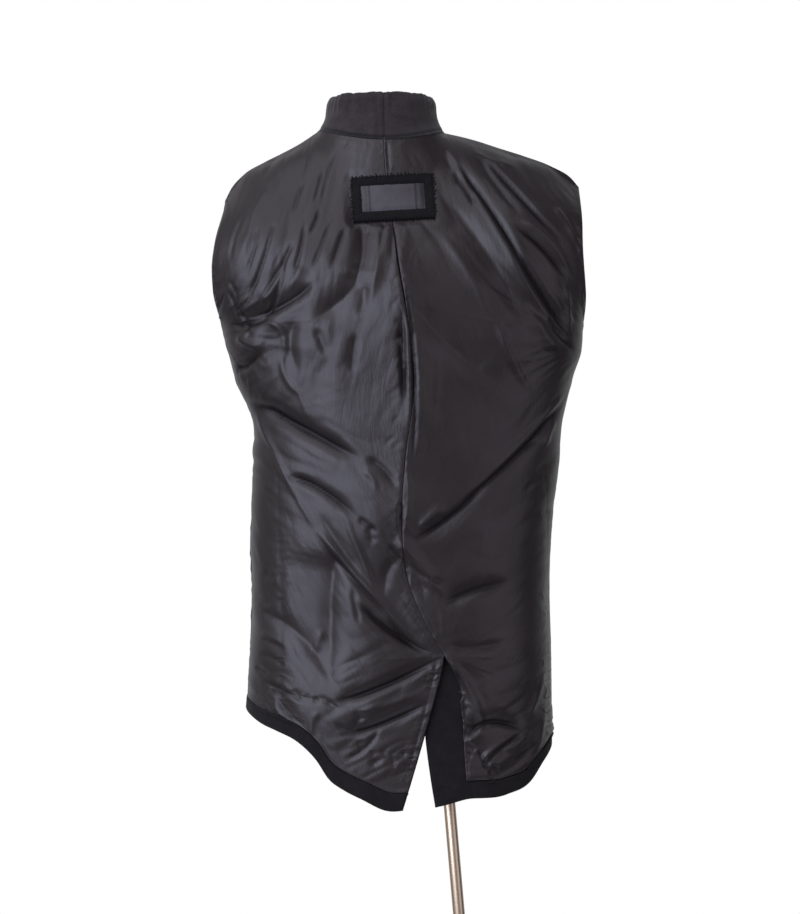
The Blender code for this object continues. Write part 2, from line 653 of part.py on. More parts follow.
def collar_surface(side, path):
    """Half of the collar: a section carried round the neck seam from the centre back to the centre front."""
    turns = np.append(np.arange(0.0, math.pi - 0.01, NECK_STEP), math.pi - COLLAR_END)
    grid = []
    for turn in turns:
        face = BACK if turn < math.pi / 2 else FRONT
        seam_z = top_edge(side, BACK, np.array(NECK_SHARE))[2]
        level = math.cos(turn) ** 2
        dip = (NECK_HEIGHT[face] - seam_z) * level
        middle = COLLAR_AT_BACK if face == BACK else 1.0
        tall = COLLAR_AT_SIDE[side] + (middle - COLLAR_AT_SIDE[side]) * level
        column = []
        for rise, drawn in path:
            rise = COLLAR[0][0] + (rise - COLLAR[0][0]) * tall
            x = NECK_X + side * (NECK_WIDE[side] - drawn) * math.sin(turn) + side * SEAM / 2
            y = -(NECK_DEEP[face] - drawn) * math.cos(turn)
            column.append((x, y, float(seam_z) + dip + rise))
        grid.append(column)
    return np.array(grid)


def offset_path(path, distance):
    """A path in the plane of rise and depth, moved inside the fold by a distance."""
    points = np.array(path)
    along = np.gradient(points, axis=0)
    along /= np.linalg.norm(along, axis=1, keepdims=True)
    return points + distance * np.stack([-along[:, 1], along[:, 0]], axis=1)


def make_collar(side):
    inner = collar_surface(side, offset_path(COLLAR, COLLAR_WALL))
    wall(f"collar_{side_name(side)}", collar_surface(side, COLLAR), inner, wool())


def on_back(x, z, off):
    """Points on the back of the coat at given x and z, moved out by a distance."""
    points = np.empty((*x.shape, 3))
    us = even(0.0, 0.9, 90)
    for place in np.ndindex(x.shape):
        side = LEFT if x[place] < float(read(CENTRE_BACK, z[place], 1)) else RIGHT
        level = np.full_like(us, z[place])
        level = np.minimum(level, top_edge(side, BACK, us)[2])
        across, back = coat_point(side, BACK, us, level, 0.0, "lining")
        order = np.argsort(across)
        y = np.interp(x[place], across[order], back[order])
        fold = fold_at(BACK, np.array([x[place]]), np.array([z[place]]))[0]
        points[place] = (x[place], y - fold - off, z[place])
    return points


def patch_grid(across, up, off):
    """Points of the patch from distances across and up from its middle, tilted and laid on the back."""
    x = PATCH_X + across * math.cos(PATCH_TILT) - up * math.sin(PATCH_TILT)
    z = PATCH_Z + across * math.sin(PATCH_TILT) + up * math.cos(PATCH_TILT)
    return on_back(x, z, off)


def rectangle_ring(half_wide, half_tall, each):
    """Distances across and up of points round a rectangle, the same number along each side."""
    run = even(-1.0, 1.0, each + 1)[:-1]
    one = np.ones_like(run)
    across = np.concatenate([run, one, -run, -one]) * half_wide
    up = np.concatenate([-one, run, one, -run]) * half_tall
    return across, up


def make_patch():
    """The frame is a ring of wool, and the label fills it with a small gap all round."""
    rings = []
    for border in (0.0, PATCH_BORDER / 2, PATCH_BORDER):
        rings.append(rectangle_ring(PATCH_WIDE / 2 - border, PATCH_TALL / 2 - border, 4))
    across, up = (np.stack(part, axis=1) for part in zip(*rings))
    outer = patch_grid(across, up, PATCH_OFF + PATCH_WOOL)
    wall("label_frame", outer, patch_grid(across, up, PATCH_OFF), wool(), closed=True)
    wide = PATCH_WIDE / 2 - PATCH_BORDER - SEAM
    tall = PATCH_TALL / 2 - PATCH_BORDER - SEAM
    across, up = np.meshgrid(even(-wide, wide, 7), even(-tall, tall, 4), indexing="ij")
    outer = patch_grid(across, up, PATCH_OFF + LABEL_WALL)
    wall("label", outer, patch_grid(across, up, PATCH_OFF), colour("grey_satin", (0.06, 0.055, 0.06), 0.4))


def drum(name, rings, material):
    """A solid through level rings of the same number of points, closed by a flat face at both ends."""
    rows, segments = rings.shape[:2]
    faces = []
    for low in range(0, (rows - 1) * segments, segments):
        for step in range(segments):
            ahead = (step + 1) % segments
            faces.append((low + step, low + ahead, low + segments + ahead, low + segments + step))
    faces.append(tuple(reversed(range(segments))))
    faces.append(tuple(range((rows - 1) * segments, rows * segments)))
    mesh = bpy.data.meshes.new(name)
    mesh.from_pydata(rings.reshape(-1, 3).tolist(), [], faces)
    return add_object(name, mesh, material)


def turned(name, profile, material, segments=32):
    """A solid of revolution about Z from (radius, height) points."""
    radius, height = np.array(profile).T[:, :, None]
    turn = np.arange(segments) * 2 * math.pi / segments
    rings = [radius * np.cos(turn), radius * np.sin(turn), height + 0.0 * turn]
    return drum(name, np.stack(rings, axis=-1), material)


def lean_at(thing, height):
    """Sets an object on the leaning axis, at a height along it."""
    thing.rotation_euler = (0.0, -LEAN, 0.0)
    thing.location = (FOOT_X - height * math.sin(LEAN), 0.0, height * math.cos(LEAN))


def cut(thing, cutter):
    """Takes the cutter's shape out of an object."""
    cutter.hide_render = True
    cutter.display_type = "WIRE"
    boolean = thing.modifiers.new("bore", "BOOLEAN")
    boolean.operation = "DIFFERENCE"
    boolean.object = cutter


def make_stand():
    """Plate, turned hub, rod and socket. The rod stands in the hub's bore and ends inside the socket."""
    edge = BASE_RADIUS - BASE_BEVEL
    profile = (
        (edge, 0.0),
        (BASE_RADIUS, BASE_BEVEL),
        (BASE_RADIUS, BASE_THICK - BASE_BEVEL),
        (edge, BASE_THICK),
    )
    plate = turned("base_plate", profile, steel(), 48)
    plate.location = (FOOT_X, 0.0, 0.0)
    hub = turned("base_hub", HUB_PROFILE, steel())
    hub.location = (FOOT_X, 0.0, BASE_THICK + POLE_GAP)
    bore = turned("hub_bore", ((POLE_RADIUS + POLE_GAP, -0.02), (POLE_RADIUS + POLE_GAP, 0.10)), steel())
    lean_at(bore, 0.0)
    cut(hub, bore)
    low = BASE_THICK + POLE_FOOT_GAP
    pole = turned("pole", ((POLE_RADIUS, low), (POLE_RADIUS, POLE_TOP)), steel(), 24)
    lean_at(pole, 0.0)
    floor = POLE_TOP + POLE_GAP
    rim = floor - SOCKET_DEEP
    bore = POLE_RADIUS + POLE_GAP
    profile = ((bore, floor), (bore, rim), (SOCKET_RADIUS, rim), (SOCKET_RADIUS, floor + SOCKET_FLOOR))
    socket = turned("form_socket", profile, steel())
    lean_at(socket, 0.0)


def make_form():
    """The limbless torso, and the cap on its neck."""
    bust = 1.35
    heights = np.concatenate([even(FORM[0][0], bust, 9)[:-1], even(bust, FORM[-1][0], 10)])
    turn = np.arange(FORM_SEGMENTS) * 2 * math.pi / FORM_SEGMENTS
    wide, deep, forward = (read(FORM, heights, column)[:, None] for column in (1, 2, 3))
    rings = [wide * np.cos(turn), deep * np.sin(turn) + forward, heights[:, None] + 0.0 * turn]
    form = drum("dress_form", np.stack(rings, axis=-1), colour("ecru_jersey", (0.72, 0.66, 0.56), 0.8))
    lean_at(form, 0.0)
    cap = turned("neck_cap", CAP_PROFILE, steel())
    lean_at(cap, FORM[-1][0] + POLE_GAP)


def main():
    for thing in list(bpy.data.objects):
        bpy.data.objects.remove(thing)
    for side in (LEFT, RIGHT):
        make_back(side)
        make_front(side)
        make_sleeve(side)
        make_collar(side)
    make_patch()
    make_form()
    make_stand()


main()
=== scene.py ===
"""An overcoat turned inside out on a limbless dress form, with its stand, finished to be rendered.

The back of the coat faces -Y and +X is the form's right. Each panel is one surface. A point at (u, v) lies u
of the way from the panel's centre line to its side seam, and v runs from 0 at the neck and shoulder, through
1 at the armhole's foot and 2 at the lining's lower edge, to 3 at the hem. A layer of cloth is that surface
drawn in by the layer's depth and then moved along its normal by the creases. A crease is a bent line over
the plane of x and z: its height falls away with the distance from the line, and fades to both ends.
"""

import math

import bpy
import numpy as np
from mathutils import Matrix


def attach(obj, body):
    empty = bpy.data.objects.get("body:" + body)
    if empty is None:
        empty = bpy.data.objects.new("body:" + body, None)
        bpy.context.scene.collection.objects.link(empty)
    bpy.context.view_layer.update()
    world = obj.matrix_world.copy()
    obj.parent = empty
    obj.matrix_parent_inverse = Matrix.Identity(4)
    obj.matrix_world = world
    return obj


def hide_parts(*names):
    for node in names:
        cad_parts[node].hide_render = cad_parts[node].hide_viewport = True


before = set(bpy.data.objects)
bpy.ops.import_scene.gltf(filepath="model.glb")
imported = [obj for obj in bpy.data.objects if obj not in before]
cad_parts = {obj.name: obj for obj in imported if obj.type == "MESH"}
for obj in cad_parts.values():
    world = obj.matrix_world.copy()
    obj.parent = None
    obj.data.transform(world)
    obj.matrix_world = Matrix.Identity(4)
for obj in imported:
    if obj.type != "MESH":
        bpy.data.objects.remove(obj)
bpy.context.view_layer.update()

# ---------------------------------------------------------------------------------------------------------
# Studio. A white background and a pale round floor. One large soft light stands to the left of the camera
# and a weaker one to the right, so the left half of the back gleams and the right half stays dark. The room
# is dark behind the camera and white behind the coat.

CAMERA_BACK = 3.33
CAMERA_HIGH = 1.02
VIEW_TALL = math.radians(21.0)
LIGHT_COLUMNS = ("name", "x", "y", "z", "aims at z", "width", "height", "watts", "colour")
LIGHTS = (
    ("soft light left", -2.15, -2.65, 1.85, 1.05, 2.8, 3.0, 82.0, "#dde2ff"),
    ("soft light right", 2.6, -2.1, 1.3, 0.9, 2.8, 2.8, 17.0, "#f6efff"),
    ("ceiling", -0.6, -1.2, 3.8, 1.2, 3.2, 2.6, 22.0, "#f3f1ff"),
)
WINDOW_WAY = (-0.60, -0.65, 0.44)
FLOOR_RADIUS = 0.8
FLOOR_X = 0.0515
FLOOR_Z = -0.0005
FLOOR_SIDES = 96


def linear(hex_colour):
    """An sRGB hex colour turned to linear light, with an alpha of 1."""
    levels = [int(hex_colour[at : at + 2], 16) / 255 for at in (1, 3, 5)]
    return (*(c / 12.92 if c <= 0.04045 else ((c + 0.055) / 1.055) ** 2.4 for c in levels), 1.0)


def feed(tree, node, **links):
    """Joins sockets of a node, each by its name or its _number, to outputs or to the first outputs of
    nodes."""
    for key, source in links.items():
        socket = int(key[1:]) if key[1:].isdigit() else key.replace("_", " ")
        tree.links.new(node.inputs[socket], getattr(source, "outputs", [source])[0])
    return node


def add_node(tree, kind, settings=None, **links):
    """Adds a shader node. A setting is a property or a socket's value, and the links are as in feed."""
    node = tree.nodes.new("ShaderNode" + kind)
    for key, value in (settings or {}).items():
        if isinstance(key, str) and hasattr(node, key):
            setattr(node, key, value)
        else:
            node.inputs[key].default_value = value
    return feed(tree, node, **links)


def rise(tree, value, start, end, low, high):
    """A value that climbs smoothly from low to high while another one goes from start to end."""
    settings = {"From Min": start, "From Max": end, "To Min": low, "To Max": high}
    return add_node(tree, "MapRange", {"interpolation_type": "SMOOTHSTEP", **settings}, Value=value)


def new_material(name, **settings):
    """A material with values set on its shader. Gives the material, its tree and its shader."""
    material = bpy.data.materials.new(name)
    material.use_nodes = True
    shader = material.node_tree.nodes["Principled BSDF"]
    for key, value in settings.items():
        shader.inputs[key.replace("_", " ")].default_value = value
    return material, material.node_tree, shader


def placed(name, data):
    """An object made from its data and put in the scene."""
    thing = bpy.data.objects.new(name, data)
    bpy.context.collection.objects.link(thing)
    return thing


camera = placed("camera", bpy.data.cameras.new("camera"))
camera.data.sensor_fit = "VERTICAL"
camera.data.angle = VIEW_TALL
camera.location = (0.0, -CAMERA_BACK, CAMERA_HIGH)
camera.rotation_euler = (math.pi / 2, 0.0, 0.0)
bpy.context.scene.camera = camera
bpy.context.scene.view_settings.view_transform = "Standard"

for name, x, y, z, aim, width, height, watts, colour in LIGHTS:
    lamp = bpy.data.lights.new(name, "AREA")
    lamp.shape = "RECTANGLE"
    lamp.size, lamp.size_y, lamp.energy = width, height, watts
    lamp.color = linear(colour)[:3]
    light = placed(name, lamp)
    light.location = (x, y, z)
    light.rotation_euler = (math.atan2(math.hypot(x, y), z - aim), 0.0, math.atan2(x, -y))

room = bpy.data.worlds.new("white room")
bpy.context.scene.world = room
room.use_nodes = True
tree = room.node_tree
tree.nodes.clear()
way = add_node(tree, "TexCoord").outputs["Generated"]
split = add_node(tree, "SeparateXYZ", _0=way)
behind = rise(tree, split.outputs["Y"], 0.0, 1.0, 0.07, 0.55)
toward = add_node(tree, "VectorMath", {"operation": "DOT_PRODUCT", 1: WINDOW_WAY}, _0=way)
window = rise(tree, toward.outputs["Value"], 0.25, 1.0, 0.0, 0.60)
around = add_node(tree, "Math", {"operation": "ADD"}, _0=behind, _1=window)
seen = add_node(tree, "LightPath")
white = {"data_type": "FLOAT", "B": 1.0}
bright = add_node(tree, "Mix", white, Factor=seen.outputs["Is Camera Ray"], A=around)
wall_light = add_node(tree, "Background", {"Color": (1.0, 1.0, 1.0, 1.0)}, Strength=bright)
add_node(tree, "OutputWorld", Surface=wall_light)

turn = np.linspace(0.0, 2 * math.pi, FLOOR_SIDES, endpoint=False)
rim = (FLOOR_X + FLOOR_RADIUS * np.cos(turn), FLOOR_RADIUS * np.sin(turn), 0.0 * turn + FLOOR_Z)
floor_mesh = bpy.data.meshes.new("floor")
floor_mesh.from_pydata(np.stack(rim, axis=-1).tolist(), [], [list(range(FLOOR_SIDES))])
placed("floor", floor_mesh)
board = new_material("white painted board", Base_Color=linear("#f2f1ef"), Roughness=0.7)[0]
floor_mesh.materials.append(board)

# ---------------------------------------------------------------------------------------------------------
# Stand. A round steel plate with a turned foot, a leaning rod, the socket under the form and the cap on its
# neck. All are turned and ground, and their warm tan colour is a painted reflection of a wooden floor.

LEAN = math.atan(0.0865)
FOOT_X = 0.1145
ROUND = 96
POLE_FACES = 48
SHARP_EDGE = math.radians(50)


def linked(name, grid, material, slot, uv=None, loop=False, flip=False, thick=None, marks=None):
    """A piece from a grid of points. Each face joins four neighbours, and a loop joins the last column to the
    first. Marks are numbers at the points, by name. A thickness is added inwards."""
    columns, rows = grid.shape[:2]
    index = np.arange(columns * rows).reshape(columns, rows)
    spread = np.arange((columns + loop) * rows).reshape(columns + loop, rows)
    if loop:
        index = np.concatenate([index, index[:1]])

    def corners(which):
        four = (which[:-1, :-1], which[1:, :-1], which[1:, 1:], which[:-1, 1:])
        quads = np.stack(four, axis=-1).reshape(-1, 4)
        return (quads[:, ::-1] if flip else quads).ravel()

    mesh = bpy.data.meshes.new(name)
    mesh.vertices.add(columns * rows)
    mesh.vertices.foreach_set("co", grid.astype(np.float32).ravel())
    count = (index.shape[0] - 1) * (rows - 1)
    mesh.loops.add(4 * count)
    mesh.loops.foreach_set("vertex_index", corners(index).astype(np.int32))
    mesh.polygons.add(count)
    mesh.polygons.foreach_set("loop_start", np.arange(0, 4 * count, 4, dtype=np.int32))
    mesh.update(calc_edges=True)
    if uv is not None:
        layer = mesh.uv_layers.new(name="cloth")
        layer.data.foreach_set("uv", uv.reshape(-1, 2)[corners(spread)].astype(np.float32).ravel())
    for mark, values in (marks or {}).items():
        layer = mesh.attributes.new(mark, "FLOAT", "POINT")
        layer.data.foreach_set("value", values.astype(np.float32).ravel())
    mesh.shade_smooth()
    mesh.materials.append(material)
    piece = placed(name, mesh)
    if thick:
        shell = piece.modifiers.new("thickness", "SOLIDIFY")
        shell.thickness, shell.offset = thick, -1.0
    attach(piece, "root")
    return piece


def leaned(x, y, z, lean=LEAN):
    """A grid of points turned about +Y by the lean, and set over the stand's foot."""
    cosine, sine = math.cos(lean), math.sin(lean)
    return np.stack([FOOT_X + x * cosine - z * sine, y, z * cosine + x * sine], axis=-1)


def turned(name, node, profile, material, lean=LEAN, faces=ROUND):
    """A profile of (radius, height) points swept round an axis, closed at its ends, then leaned about +Y."""
    radius, height = np.array(profile, dtype=float).T
    turn = np.linspace(0.0, 2 * math.pi, faces, endpoint=False)[:, None]
    grid = leaned(radius * np.cos(turn), radius * np.sin(turn), height + 0.0 * turn, lean)
    around = np.linspace(0.0, 1.0, faces + 1)[:, None] * 2 * math.pi * max(radius)
    along = np.cumsum(np.hypot(np.diff(radius, prepend=radius[0]), np.diff(height, prepend=height[0])))
    uv = np.stack(np.broadcast_arrays(around, along), axis=-1)
    piece = linked(name, grid, material, "brushed_steel", uv, loop=True)
    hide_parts(node)
    piece.data.set_sharp_from_angle(angle=SHARP_EDGE)


def ramp(tree, factor, low, high, start=0.0, end=1.0):
    """A colour that goes from low to high as a factor goes from start to end."""
    node = add_node(tree, "ValToRGB", Fac=factor)
    for stop, place, colour in zip(node.color_ramp.elements, (start, end), (low, high)):
        stop.position, stop.color = place, linear(colour)
    return node


def noise(tree, way, scale, detail, **more):
    """A noise texture over the points that a way gives."""
    settings = {"Scale": scale, "Detail": detail, **{key.capitalize(): value for key, value in more.items()}}
    return add_node(tree, "TexNoise", settings, Vector=way)


def bump(tree, height, strength, distance, **over):
    """A bump from a height, over another one if that is given as Normal."""
    return add_node(tree, "Bump", {"Strength": strength, "Distance": distance}, Height=height, **over)


def ground_steel(name, brush_along):
    """Stainless steel ground with a fine belt: hair lines about 0.5 mm apart, and a warm tan colour that is a
    painted reflection of a wooden floor. The lines blur what it reflects along one way only."""
    material, tree, shader = new_material(name, Metallic=1.0)
    place = add_node(tree, "UVMap", {"uv_map": "cloth"})
    stretch = add_node(tree, "Mapping", {"Scale": brush_along}, Vector=place)
    hair = noise(tree, stretch, 1.0, 3.0, roughness=0.6)
    # Painted reflection: the warm tan colours stand in for a wooden floor seen in the steel.
    tone = ramp(tree, hair, "#c2a88c", "#ecdcc8")
    rough = add_node(tree, "MapRange", {"To Min": 0.20, "To Max": 0.36}, Value=hair)
    feed(tree, shader, Base_Color=tone, Roughness=rough, Normal=bump(tree, hair, 0.1, 0.0002))
    return material


rod_steel = ground_steel("ground stainless steel rod", (2000.0, 10.0, 1.0))
plate_steel = ground_steel("turned stainless steel plate", (10.0, 2000.0, 1.0))

# Profiles as (radius, height) points in millimetres. Each edge is broken by a small bevel or a round.
PLATE_PROFILE = ((0, 0), (167.5, 0), (169.5, 0.8), (170, 2), (170, 6), (169.3, 7.4), (167.5, 8), (0, 8))
HUB_PROFILE = (
    (8.6, 8.4), (33.5, 8.4), (34, 9), (34, 11.6), (32.5, 12.8), (26.5, 14.4), (22.2, 17.2), (19.6, 21.5),
    (17.8, 27.5), (16.3, 36), (15, 42), (13.9, 43.8), (12.5, 44.3), (8.6, 44.3), (8.6, 8.4),
)
POLE_PROFILE = ((0, 9.4), (7.8, 9.4), (8, 10), (8, 884.3), (7.4, 885), (0, 885))
SOCKET_PROFILE = (
    (8.3, 885.3), (8.3, 856), (8.8, 855.4), (17.2, 855.4), (17.9, 856.2), (18, 870), (17.2, 870.6),
    (17.2, 872.2), (18, 872.8), (18, 890.5), (17.4, 891.2), (0, 891.2), (0, 885.3), (8.3, 885.3),
)
CAP_PROFILE = (
    (0, 1480.3), (39.6, 1480.3), (40, 1480.8), (40, 1483.8), (39.2, 1484.6), (34.5, 1486.2), (30, 1488.2),
    (21, 1489.7), (12, 1490.3), (0, 1490.4),
)
for name, node, profile, material, lean, faces in (
    ("stand_plate", "base_plate", PLATE_PROFILE, plate_steel, 0.0, ROUND),
    ("stand_hub", "base_hub", HUB_PROFILE, rod_steel, 0.0, ROUND),
    ("stand_rod", "pole", POLE_PROFILE, rod_steel, LEAN, POLE_FACES),
    ("form_socket_ring", "form_socket", SOCKET_PROFILE, rod_steel, LEAN, ROUND),
    ("neck_cap_disc", "neck_cap", CAP_PROFILE, rod_steel, LEAN, ROUND),
):
    turned(name, node, np.array(profile, dtype=float) / 1000, material, lean, faces)

# ---------------------------------------------------------------------------------------------------------
# Dress form. A limbless torso of moulded foam, covered in stretched cotton jersey with one seam down each
# side and one down the middle of the back and front. It shows through the neck and below the hem.

FORM_COLUMNS = ("height", "half width", "half depth", "forward")
FORM = (
    (0.892, 0.128, 0.090, 0.000),
    (0.930, 0.134, 0.097, 0.000),
    (1.030, 0.126, 0.090, 0.000),
    (1.120, 0.140, 0.099, 0.002),
    (1.220, 0.160, 0.107, 0.004),
    (1.300, 0.171, 0.094, 0.000),
    (1.350, 0.176, 0.074, -0.004),
    (1.380, 0.170, 0.058, -0.006),
    (1.398, 0.150, 0.048, -0.006),
    (1.412, 0.118, 0.044, -0.005),
    (1.422, 0.084, 0.044, -0.004),
    (1.436, 0.056, 0.046, -0.003),
    (1.452, 0.046, 0.046, -0.003),
    (1.480, 0.043, 0.044, -0.003),
)
FORM_TURNS = 160
FORM_ROUND = 0.80
FORM_EDGE = 0.006
FORM_SEAM = 0.0006
FORM_SEAM_ANGLE = 0.018


def ease(share):
    """0 up to a share of 0, 1 from a share of 1, and a smooth rise between them."""
    share = np.clip(share, 0.0, 1.0)
    return share * share * (3.0 - 2.0 * share)


def read(table, at, column):
    """One column of a table at a value of its first column, by cubic pieces with no corner at a row."""
    rows = np.array(table)
    knots, values = rows[:, 0], rows[:, column]
    slopes = np.gradient(values, knots)
    at = np.clip(at, knots[0], knots[-1])
    low = np.clip(np.searchsorted(knots, at) - 1, 0, len(knots) - 2)
    step = knots[low + 1] - knots[low]
    share = (at - knots[low]) / step
    rest = 1.0 - share
    return (
        values[low] * rest * rest * (1.0 + 2.0 * share)
        + values[low + 1] * share * share * (3.0 - 2.0 * share)
        + slopes[low] * step * share * rest * rest
        - slopes[low + 1] * step * share * share * rest
    )


def cotton_jersey():
    """Plain knit cotton jersey, ecru and matt: columns of loops 1.1 mm apart give it a soft ribbed grain.
    Real loops are half that, and are drawn coarser so that they show."""
    material, tree, shader = new_material("knitted cotton jersey", Roughness=0.82, Sheen_Weight=0.15)
    place = add_node(tree, "UVMap", {"uv_map": "cloth"})
    ribs = add_node(tree, "TexWave", {"Scale": 145.0, "Distortion": 0.6, "Detail Scale": 3.0}, Vector=place)
    level = add_node(tree, "Mapping", {"Rotation": (0.0, 0.0, math.pi / 2)}, Vector=place)
    loops = add_node(tree, "TexWave", {"Scale": 190.0, "Distortion": 0.8}, Vector=level)
    knit = add_node(
        tree, "Math", {"operation": "MULTIPLY"}, _0=ribs.outputs["Fac"], _1=loops.outputs["Fac"]
    )
    tone = ramp(tree, noise(tree, place, 9.0, 4.0), "#cdbfa6", "#e4d9c4")
    mixing = {"data_type": "RGBA", "blend_type": "MULTIPLY", "Factor": 0.25}
    shade = add_node(tree, "Mix", mixing, _6=tone, _7=knit)
    feed(tree, shader, Base_Color=shade.outputs[2], Normal=bump(tree, knit, 0.35, 0.0004))
    return material


def make_form():
    """Level ellipses along the leaning axis, drawn in round the bottom edge, with a fine groove at each
    seam."""
    turn = np.linspace(0.0, 2 * math.pi, FORM_TURNS, endpoint=False)[:, None]
    low, high = FORM[0][0], FORM[-1][0]
    edge = np.linspace(low, low + FORM_EDGE, 7)[1:]
    side = np.linspace(low + FORM_EDGE, high, 150)[1:]
    height = np.concatenate([np.full(4, low), edge, side, np.full(2, high)])
    share = np.clip((height - low) / FORM_EDGE, 0.0, 1.0)
    tuck = FORM_EDGE * (1.0 - np.sqrt(1.0 - (1.0 - share) ** 2))
    fill = np.ones_like(height)
    fill[:3] = (0.0, 0.5, 0.93)
    fill[-2:] = (1.0, 0.0)
    wide, deep, forward = (read(FORM, height, column) for column in (1, 2, 3))
    from_seam = (turn + math.pi / 4) % (math.pi / 2) - math.pi / 4
    drawn_in = tuck + FORM_SEAM * np.exp(-((from_seam / FORM_SEAM_ANGLE) ** 2))
    x = (wide - drawn_in) * fill * np.cos(turn)
    y = (deep - drawn_in) * fill * np.sin(turn) + forward
    around = np.linspace(0.0, FORM_ROUND, FORM_TURNS + 1)[:, None]
    uv = np.stack(np.broadcast_arrays(around, height), axis=-1)
    points = leaned(x, y, height + 0.0 * turn)
    form = linked("form_torso", points, cotton_jersey(), "ecru_jersey", uv, loop=True)
    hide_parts("dress_form")
    form.data.set_sharp_from_angle(angle=SHARP_EDGE)


make_form()


# ---------------------------------------------------------------------------------------------------------
# Wool shell. The coat's own cloth, a heavy black melton milled until no thread shows. It is the inner layer
# here, cut as two backs and two fronts, and its hem is turned up over the lining's lower edge.

LEFT, RIGHT = -1, 1
BACK, FRONT = -1, 1
WOOL = 0.0020
UNDER_EDGE = 0.0027
SLACK = 0.0045
TIP_SLACK = 1.9
EDGE_RAMP = 0.12
PROUD = 0.0002
# Spans of (start, length), in shares of a panel's width or rows down it, over which one state eases to
# another.
NECK_HELD_DOWN = (0.0, 0.18)
NECK_HELD_OUT = (0.36, 0.20)
TIP_FREE_OUT = (0.60, 0.25)
TIP_FREE_DOWN = (0.30, 0.40)
FRONT_FREE_OUT = 0.15
VENT_FREE_OUT = (0.0, 0.30)
VENT_FREE_ABOVE = 0.02
UNDERLAP_OUT = (0.16, 0.06)

SQUARENESS = 2.6
BODY_COLUMNS = ("height", "left", "right", "back", "front")
BODY = (
    (0.550, -0.207, 0.203, 0.146, 0.140),
    (0.680, -0.207, 0.205, 0.144, 0.138),
    (0.770, -0.202, 0.204, 0.140, 0.136),
    (0.840, -0.199, 0.202, 0.136, 0.134),
    (0.910, -0.201, 0.204, 0.132, 0.132),
    (1.016, -0.197, 0.214, 0.128, 0.130),
    (1.070, -0.199, 0.219, 0.127, 0.131),
    (1.124, -0.222, 0.231, 0.127, 0.132),
    (1.165, -0.233, 0.243, 0.128, 0.133),
    (1.195, -0.241, 0.246, 0.128, 0.132),
    (1.240, -0.262, 0.258, 0.127, 0.128),
    (1.290, -0.268, 0.262, 0.124, 0.120),
    (1.340, -0.258, 0.257, 0.116, 0.108),
    (1.366, -0.240, 0.249, 0.110, 0.100),
    (1.384, -0.234, 0.242, 0.106, 0.095),
)
VENT_HEAD = 0.763
VENT_ROW = 1.6875
VENT_EDGE_STEP = 0.0012
CENTRE_BACK_COLUMNS = ("height", "seam")
CENTRE_BACK = (
    (0.763, 0.0560),
    (0.810, 0.0300),
    (0.860, 0.0100),
    (0.912, 0.0030),
    (1.016, 0.0065),
    (1.104, 0.0180),
    (1.165, 0.0150),
    (1.282, -0.0040),
    (1.432, -0.0170),
)
VENT_COLUMNS = ("height", "left panel", "right lining", "underlap")
VENT = (
    (0.559, 0.0013, 0.0840, 0.0460),
    (0.604, 0.0150, 0.0820, 0.0390),
    (0.656, 0.0300, 0.0790, 0.0325),
    (0.700, 0.0420, 0.0760, 0.0300),
    (0.735, 0.0510, 0.0700, 0.0330),
    (0.763, 0.0560, 0.0560, 0.0560),
)
FRONT_MIDDLE = 0.006
FRONT_LAP = 0.042
LAP_LIFT = 0.0094
LAP_FULL = 0.32
LAP_RAMP = 0.34
LAP_RAMP_TOP = 0.12
LAP_RAMP_DOWN = (0.0, 0.3)
HEM_COLUMNS = ("x", "back", "front")
HEM = (
    (-0.207, 0.683, 0.683),
    (-0.190, 0.672, 0.683),
    (-0.165, 0.662, 0.684),
    (-0.140, 0.651, 0.684),
    (-0.112, 0.629, 0.684),
    (-0.088, 0.602, 0.684),
    (-0.066, 0.589, 0.684),
    (-0.038, 0.577, 0.683),
    (0.000, 0.5625, 0.682),
    (0.045, 0.568, 0.680),
    (0.080, 0.576, 0.676),
    (0.137, 0.581, 0.666),
    (0.172, 0.596, 0.652),
    (0.190, 0.618, 0.638),
    (0.204, 0.634, 0.634),
)
HEM_LEVEL = 0.62
HEM_TURN = (2.045, 0.035)
HEM_ROLL = 0.0011
HEM_ROLL_DOWN = (2.88, 0.12)
BAND_AT_CENTRE = 0.024
BAND_AT_SIDE = 0.017
NECK_SHARE = 0.42
NECK_X = -0.0210
NECK_WIDE = {LEFT: 0.0885, RIGHT: 0.0805}
NECK_DEEP = {BACK: 0.0720, FRONT: 0.0850}
NECK_HEIGHT = {BACK: 1.441, FRONT: 1.402}
FRONT_NECK_START = -math.pi / 5
SHOULDER_COLUMNS = ("share", "left x", "left height", "right x", "right height")
SHOULDER = (
    (0.00, -0.1095, 1.4600, 0.0595, 1.4575),
    (0.20, -0.1350, 1.4430, 0.0960, 1.4490),
    (0.40, -0.1600, 1.4295, 0.1320, 1.4375),
    (0.60, -0.1850, 1.4170, 0.1680, 1.4260),
    (0.80, -0.2110, 1.4010, 0.2050, 1.4120),
    (0.93, -0.2280, 1.3820, 0.2300, 1.3975),
    (1.00, -0.2360, 1.3660, 0.2415, 1.3840),
)
ARM_FOOT = {LEFT: 1.184, RIGHT: 1.196}
ARM_HEAD = {LEFT: 1.366, RIGHT: 1.384}
ARM_REACH = {BACK: 0.060, FRONT: 0.066}
ARM_TRIM = {"lining": 0.0, "shell": 0.0060}
ARM_FOOT_SOFT = (-0.04, 0.12)
ARM_DRAW = 4
ARM_TRIM_DRAW = 8
HEAD_TRIM = 0.06
HEAD_TRIM_DOWN = (0.0, 0.3)
SHOULDER_INSET = 0.5
SHOULDER_INSET_SPAN = (0.0, 0.35)
NECK_INSET = 0.9
FOOT_AT_CENTRE = 1.190
HEAD_AT_CENTRE = 1.375
# How the top turns in to the neck and shoulder: sharper and sooner beside the shoulder, and soonest across.
TURN_SHARP_OUT = (0.0, 0.6)
TURN_SOONER = 2.0
WIDEN_SOONER = 1.8


